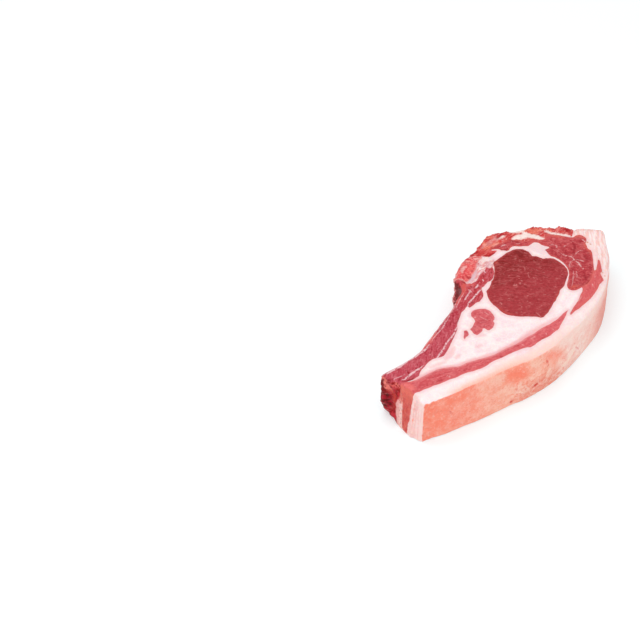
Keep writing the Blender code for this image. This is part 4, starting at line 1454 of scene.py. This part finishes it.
def paintTrim(name, look):
    material, place = startPaint(name)
    drift = bent(place, 4, 3)
    broad = cloud(place, 6, 2)
    fine = cloud(place, 0.9, 2)
    side = stored(place, "side")
    low = side * below(part(place, "Z"), 19, 25)  # the back below its rim
    strings = cloud(turned(drift, -20, (8.0, 1.7, 2.2)), 1.0, 3, 0.6)
    strings = strings + (cloud(turned(drift, -38, (15.0, 5.0, 2.2)), 1.0, 3, 0.6) - strings) * low
    strips = cloud(turned(drift, -24, (4.0, 0.9, 1.2)), 1.0, 4, 0.7)
    strips = strips + (cloud(turned(drift, -38, (10.0, 4.0, 1.1)), 1.0, 4, 0.6) - strips) * low
    rightward = step(part(place, "X"), 38, 46)
    base = blend(step(broad, 0.56, 0.68) * 0.7, look["red"], look["orange"])
    colour = layered(base, look, [
        ("pink", 0.42 + rightward * 0.43, step(strings, 0.50, 0.60)),
        ("orange", 0.8, within(place, "warm", -0.6, 1.2)),
        ("deep", 0.75, below(strips, 0.38, 0.49)),
        ("cream", 0.22 + rightward * 0.25, step(strips, 0.55, 0.64) * (1 - side * 0.5)),
        ("cream", 0.2 + rightward * 0.8, within(place, "pale", -0.2, 1.1)),
        ("deep", 0.9, within(place, "deep", -0.6, 0.6)),
    ])
    roughness = 0.32 + fine * 0.18
    height = strings * 0.5 + strips * 0.5 + fine * 0.12
    return endPaint(material, colour, roughness, height, moist)


paints = {
    "eye": paintLean("eyeLean", eyeLook),
    "cap": paintLean("capLean", capLook),
    "side": paintLean("sideLean", sideLook),
    "streak": paintLean("streakLean", streakLook, flankEnd),
    "inner": paintLean("innerLean", innerLook),
    "rib": paintLean("ribLean", ribLook),
    "fat": paintFat("fat", fatLook),
    "marrow": paintMarrow("chineMarrow", marrowLook),
    "gristle": paintGristle("cartilage", gristleLook),
    "bone": paintBone("ribBone", boneLook),
    "trim": paintTrim("backTrim", trimLook),
}
dress = {  # each piece's paint and its material slot
    "eye_muscle": ("eye", "eye_lean"),
    "cap_muscle": ("cap", "cap_lean"),
    "side_muscle": ("side", "streak_lean"),
    "flank_muscle": ("streak", "streak_lean"),
    "inner_muscle_a": ("inner", "streak_lean"),
    "inner_muscle_b": ("inner", "streak_lean"),
    "inner_muscle_c": ("inner", "streak_lean"),
    "rib_muscle": ("rib", "rib_lean"),
    "fat": ("fat", "fat"),
    "rib_bone": ("bone", "rib_bone"),
    "chine_bone": ("marrow", "chine_marrow"),
    "chine_cartilage": ("gristle", "cartilage"),
    "back_trim": ("trim", "back_trim"),
}
for nodeName, piece in pieces.items():
    paint, slot = dress[nodeName]
    piece.data.materials.clear()
    piece.data.materials.append(paints[paint])
    piece.data.shade_smooth()
    piece.data.set_sharp_from_angle(angle=math.radians(surfaceLook["sharp"]))
    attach(piece, "root")
    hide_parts(nodeName)
print("pieces painted")


# floor, light and camera

studioLook = {
    "floor": (0.68, 0.74, 0.75, 1), "glow": (0.96, 1.0, 1.0, 1), "glowStrength": 0.31,
    "world": 0.68, "lampSize": 1.0, "lampPower": 5.3, "lampPlace": (-0.25, 0.1, 0.95),
    "fillPower": 0.9, "fillPlace": (-0.35, -0.62, 0.42),
    "floorSize": 3.0, "floorHeight": -0.1 * mm, "floorRoughness": 0.9,
    "lens": 102.8, "cameraPlace": (-0.5878, -0.2981, 0.6718), "cameraAim": (-0.03754, 0.08726, 0),
}

floorBm = bmesh.new()
bmesh.ops.create_grid(floorBm, x_segments=1, y_segments=1, size=studioLook["floorSize"])
bmesh.ops.translate(floorBm, verts=floorBm.verts, vec=(0, 0, studioLook["floorHeight"]))
floor = newObject("floor", floorBm)
floorMaterial = bpy.data.materials.new("floor")
floorMaterial.use_nodes = True
floorShader = floorMaterial.node_tree.nodes["Principled BSDF"]
floorShader.inputs["Base Color"].default_value = studioLook["floor"]
floorShader.inputs["Roughness"].default_value = studioLook["floorRoughness"]
floorShader.inputs["Emission Color"].default_value = studioLook["glow"]
floorShader.inputs["Emission Strength"].default_value = studioLook["glowStrength"]
floor.data.materials.append(floorMaterial)

world = bpy.data.worlds.new("studio")
bpy.context.scene.world = world
world.use_nodes = True
background = world.node_tree.nodes["Background"]
background.inputs["Color"].default_value = (1, 1, 1, 1)
background.inputs["Strength"].default_value = studioLook["world"]


def addLamp(name, power, place):
    lamp = bpy.data.lights.new(name, "AREA")
    lamp.size = studioLook["lampSize"]
    lamp.energy = power
    lampObject = bpy.data.objects.new(name, lamp)
    lampObject.location = place
    lampObject.rotation_euler = (-Vector(place)).to_track_quat("-Z", "Y").to_euler()
    bpy.context.scene.collection.objects.link(lampObject)


addLamp("overhead", studioLook["lampPower"], studioLook["lampPlace"])
addLamp("fill", studioLook["fillPower"], studioLook["fillPlace"])

cameraData = bpy.data.cameras.new("camera")
cameraData.lens = studioLook["lens"]
cameraData.sensor_width = 36
camera = bpy.data.objects.new("camera", cameraData)
camera.location = studioLook["cameraPlace"]
aim = Vector(studioLook["cameraAim"]) - camera.location
camera.rotation_euler = aim.to_track_quat("-Z", "Y").to_euler()
bpy.context.scene.collection.objects.link(camera)
bpy.context.scene.camera = camera
bpy.context.scene.view_settings.view_transform = "Standard"
